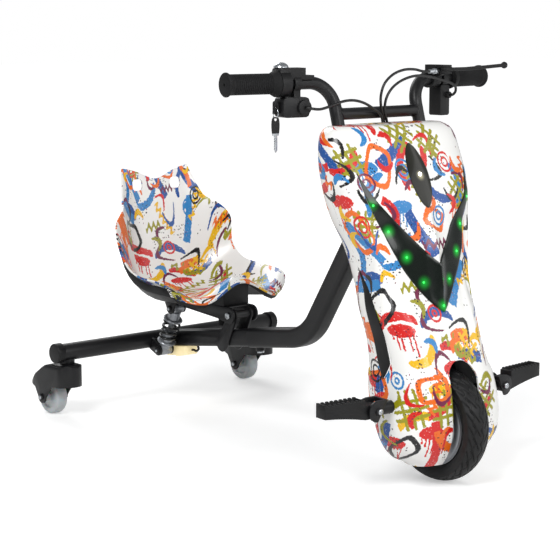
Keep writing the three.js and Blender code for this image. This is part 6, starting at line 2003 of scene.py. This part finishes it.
@dataclass
class Studio:
    """Camera, lamps and floor."""

    lens: float = 106.65
    camera_place: Place = (-2.0041, -2.3371, 0.7967)
    azimuth: float = math.radians(-40.2065)
    tilt: float = math.radians(9.1607)
    # Name, place, size and power of each soft lamp; all look at the middle of the object.
    lights: tuple[tuple[str, Place, float, float], ...] = (
        ("key", (-2.4, -1.2, 2.7), 1.2, 66), ("fill", (2.4, -2.6, 1.5), 2.4, 22),
        ("rim", (0.6, 2.6, 2.4), 1.8, 34), ("front", (-0.2, -3.2, 1.7), 1.4, 36))
    aim: Place = (0, -0.1, 0.35)

    def camera(self) -> None:
        """Stand the camera where the photograph's was."""
        data = bpy.data.cameras.new("view")
        data.lens, data.sensor_width, data.clip_end = self.lens, 36, 50
        camera = bpy.data.objects.new("view", data)
        east, north, level = math.sin(self.azimuth), math.cos(self.azimuth), math.cos(self.tilt)
        ahead = Vector((-east * level, north * level, -math.sin(self.tilt)))
        right = Vector((north, east, 0))
        turn = Matrix((right, right.cross(ahead), -ahead)).transposed()
        camera.matrix_world = Matrix.Translation(self.camera_place) @ turn.to_4x4()
        bpy.context.scene.collection.objects.link(camera)
        bpy.context.scene.camera = camera

    def lamps(self) -> None:
        """Hang soft lamps round the object and set a pale sky that the camera sees as white."""
        scene = bpy.context.scene
        scene.view_settings.view_transform = "Standard"
        for name, place, size, power in self.lights:
            light = bpy.data.lights.new(name, "AREA")
            light.size, light.energy = size, power
            lamp = bpy.data.objects.new(name, light)
            lamp.location = place
            lamp.rotation_euler = (Vector(self.aim) - Vector(place)).to_track_quat("-Z", "Y").to_euler()
            scene.collection.objects.link(lamp)
        scene.world = bpy.data.worlds.new("studio")
        scene.world.use_nodes = True
        tree = scene.world.node_tree
        tree.nodes.clear()
        rays = add_node(tree, "ShaderNodeLightPath").outputs
        seen = add_node(tree, "ShaderNodeMath", {0: rays["Is Camera Ray"], 1: rays["Is Transmission Ray"]},
                        operation="MAXIMUM")
        dim = add_node(tree, "ShaderNodeBackground", {"Color": linear(0xF4F6F8), "Strength": 0.34})
        bright = add_node(tree, "ShaderNodeBackground", {"Color": (1, 1, 1, 1), "Strength": 1.0})
        both = add_node(tree, "ShaderNodeMixShader", {0: seen, 1: dim, 2: bright})
        add_node(tree, "ShaderNodeOutputWorld", {"Surface": both})

    @staticmethod
    def floor() -> None:
        """Lay a plain pale floor that keeps the shadow and turns white away from the object."""
        deselect()
        bpy.ops.mesh.primitive_plane_add(size=40, location=(0, 0, -0.0005))
        floor = bpy.context.object
        floor.name = floor.data.name = "floor"
        bpy.ops.object.transform_apply(location=True)
        material, tree = blank("pale_floor")
        rays = add_node(tree, "ShaderNodeLightPath").outputs
        shine = add_node(tree, "ShaderNodeMath", {0: rays["Is Glossy Ray"], 1: 0.35}, operation="MULTIPLY")
        seen = add_node(tree, "ShaderNodeMath", {0: rays["Is Camera Ray"], 1: shine}, operation="MAXIMUM")
        place = add_node(tree, "ShaderNodeTexCoord").outputs["Object"]
        away = add_node(tree, "ShaderNodeVectorMath", {0: place}, operation="LENGTH").outputs["Value"]
        glow = add_node(tree, "ShaderNodeMapRange", {
            "Value": away, "From Min": 0.6, "From Max": 2.6, "To Min": 0.42, "To Max": 0.78})
        lift = add_node(tree, "ShaderNodeMath", {0: seen, 1: glow}, operation="MULTIPLY")
        speck = add_node(tree, "ShaderNodeTexNoise", {"Scale": 3.0, "Detail": 2.0})
        surfaced(tree, Base_Color=clouded(tree, speck, 0xE9E9E8, 0xECECEC), Roughness=0.7,
                 Emission_Color=(1, 1, 1, 1), Emission_Strength=lift)
        floor.data.materials.append(material)


# How wide the edges of each remaining piece are eased, in millimetres.
EASES = {
    "front_fork": 1.2, "wheel_axle": 0.6, "headset_lower": 0.5, "headset_upper": 0.5, "bar_bridge": 1.0,
    "gauge_dome": 0.4, "key_lock": 1.2, "ignition_key": 0.8, "key_ring": 0.1, "spare_key": 0.4,
    "brake_holder": 0.8, "brake_lever": 0.9, "barrel_adjuster": 0.4, "light_button": 0.8,
    "motor_controller": 0.8, "battery_pack": 1.5, "peg_bracket_left": 0.8, "peg_bracket_right": 0.8,
    "footpeg_left": 0.7, "footpeg_right": 0.7, "length_lock_bolt": 0.5, "frame_rear_tube": 0.5,
    "rear_axle_bar": 0.5, "axle_end_cap_left": 0.8, "axle_end_cap_right": 0.8, "seat_pivot_bracket": 0.8,
    "seat_pivot_bolt": 0.5, "seat_arm": 1.2, "bump_stop": 0.8, "seat_base_pan": 0.6,
    "shock_lower_bracket": 0.7, "shock_upper_bracket": 0.7, "shock_body": 0.6, "shock_piston": 0.6,
    "floor_lamp_housing": 1.4, "floor_lamp_lens": 0.6, "caster_fork_left": 4.0, "caster_fork_right": 4.0}
# The lamp's housing takes its lens's finish, painted glow and all.
OTHER_FINISH = {"floor_lamp_housing": Finish.WARM}


def tipped(key: Object) -> None:
    """Give the spare key a bright blade below its moulded head.

    Args:
        key: The key.
    """
    heights = [vertex.co.z for vertex in key.data.vertices]
    split = min(heights) + (max(heights) - min(heights)) * 0.54
    in_edit(key, lambda: bpy.ops.mesh.bisect(plane_co=(0, 0, split), plane_no=(0, 0, 1)))
    key.data.materials.clear()
    for finish in (Finish.ABS, Finish.STEEL):
        key.data.materials.append(finish.made())
    for face in key.data.polygons:
        face.material_index = int(face.center.z < split)


def main() -> None:
    """Dress the whole object."""
    logging.basicConfig(level=logging.INFO, format="%(message)s")
    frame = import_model()
    shop, studio, bar = Workshop(frame), Studio(), Handlebar()
    studio.camera()
    for assembly in (Leads(), Fairing(), Seat(), FrontWheel(), bar, Grips(bar), Controls(bar), MainFrame(),
                     Shock(), Casters(), *bolt_heads()):
        assembly.build(shop)
    for node, width in EASES.items():
        shop.eased(node, width, OTHER_FINISH.get(node))
    tipped(bpy.data.objects["spare_key_dressed"])
    studio.lamps()
    studio.floor()


if __name__ == "__main__":
    main()
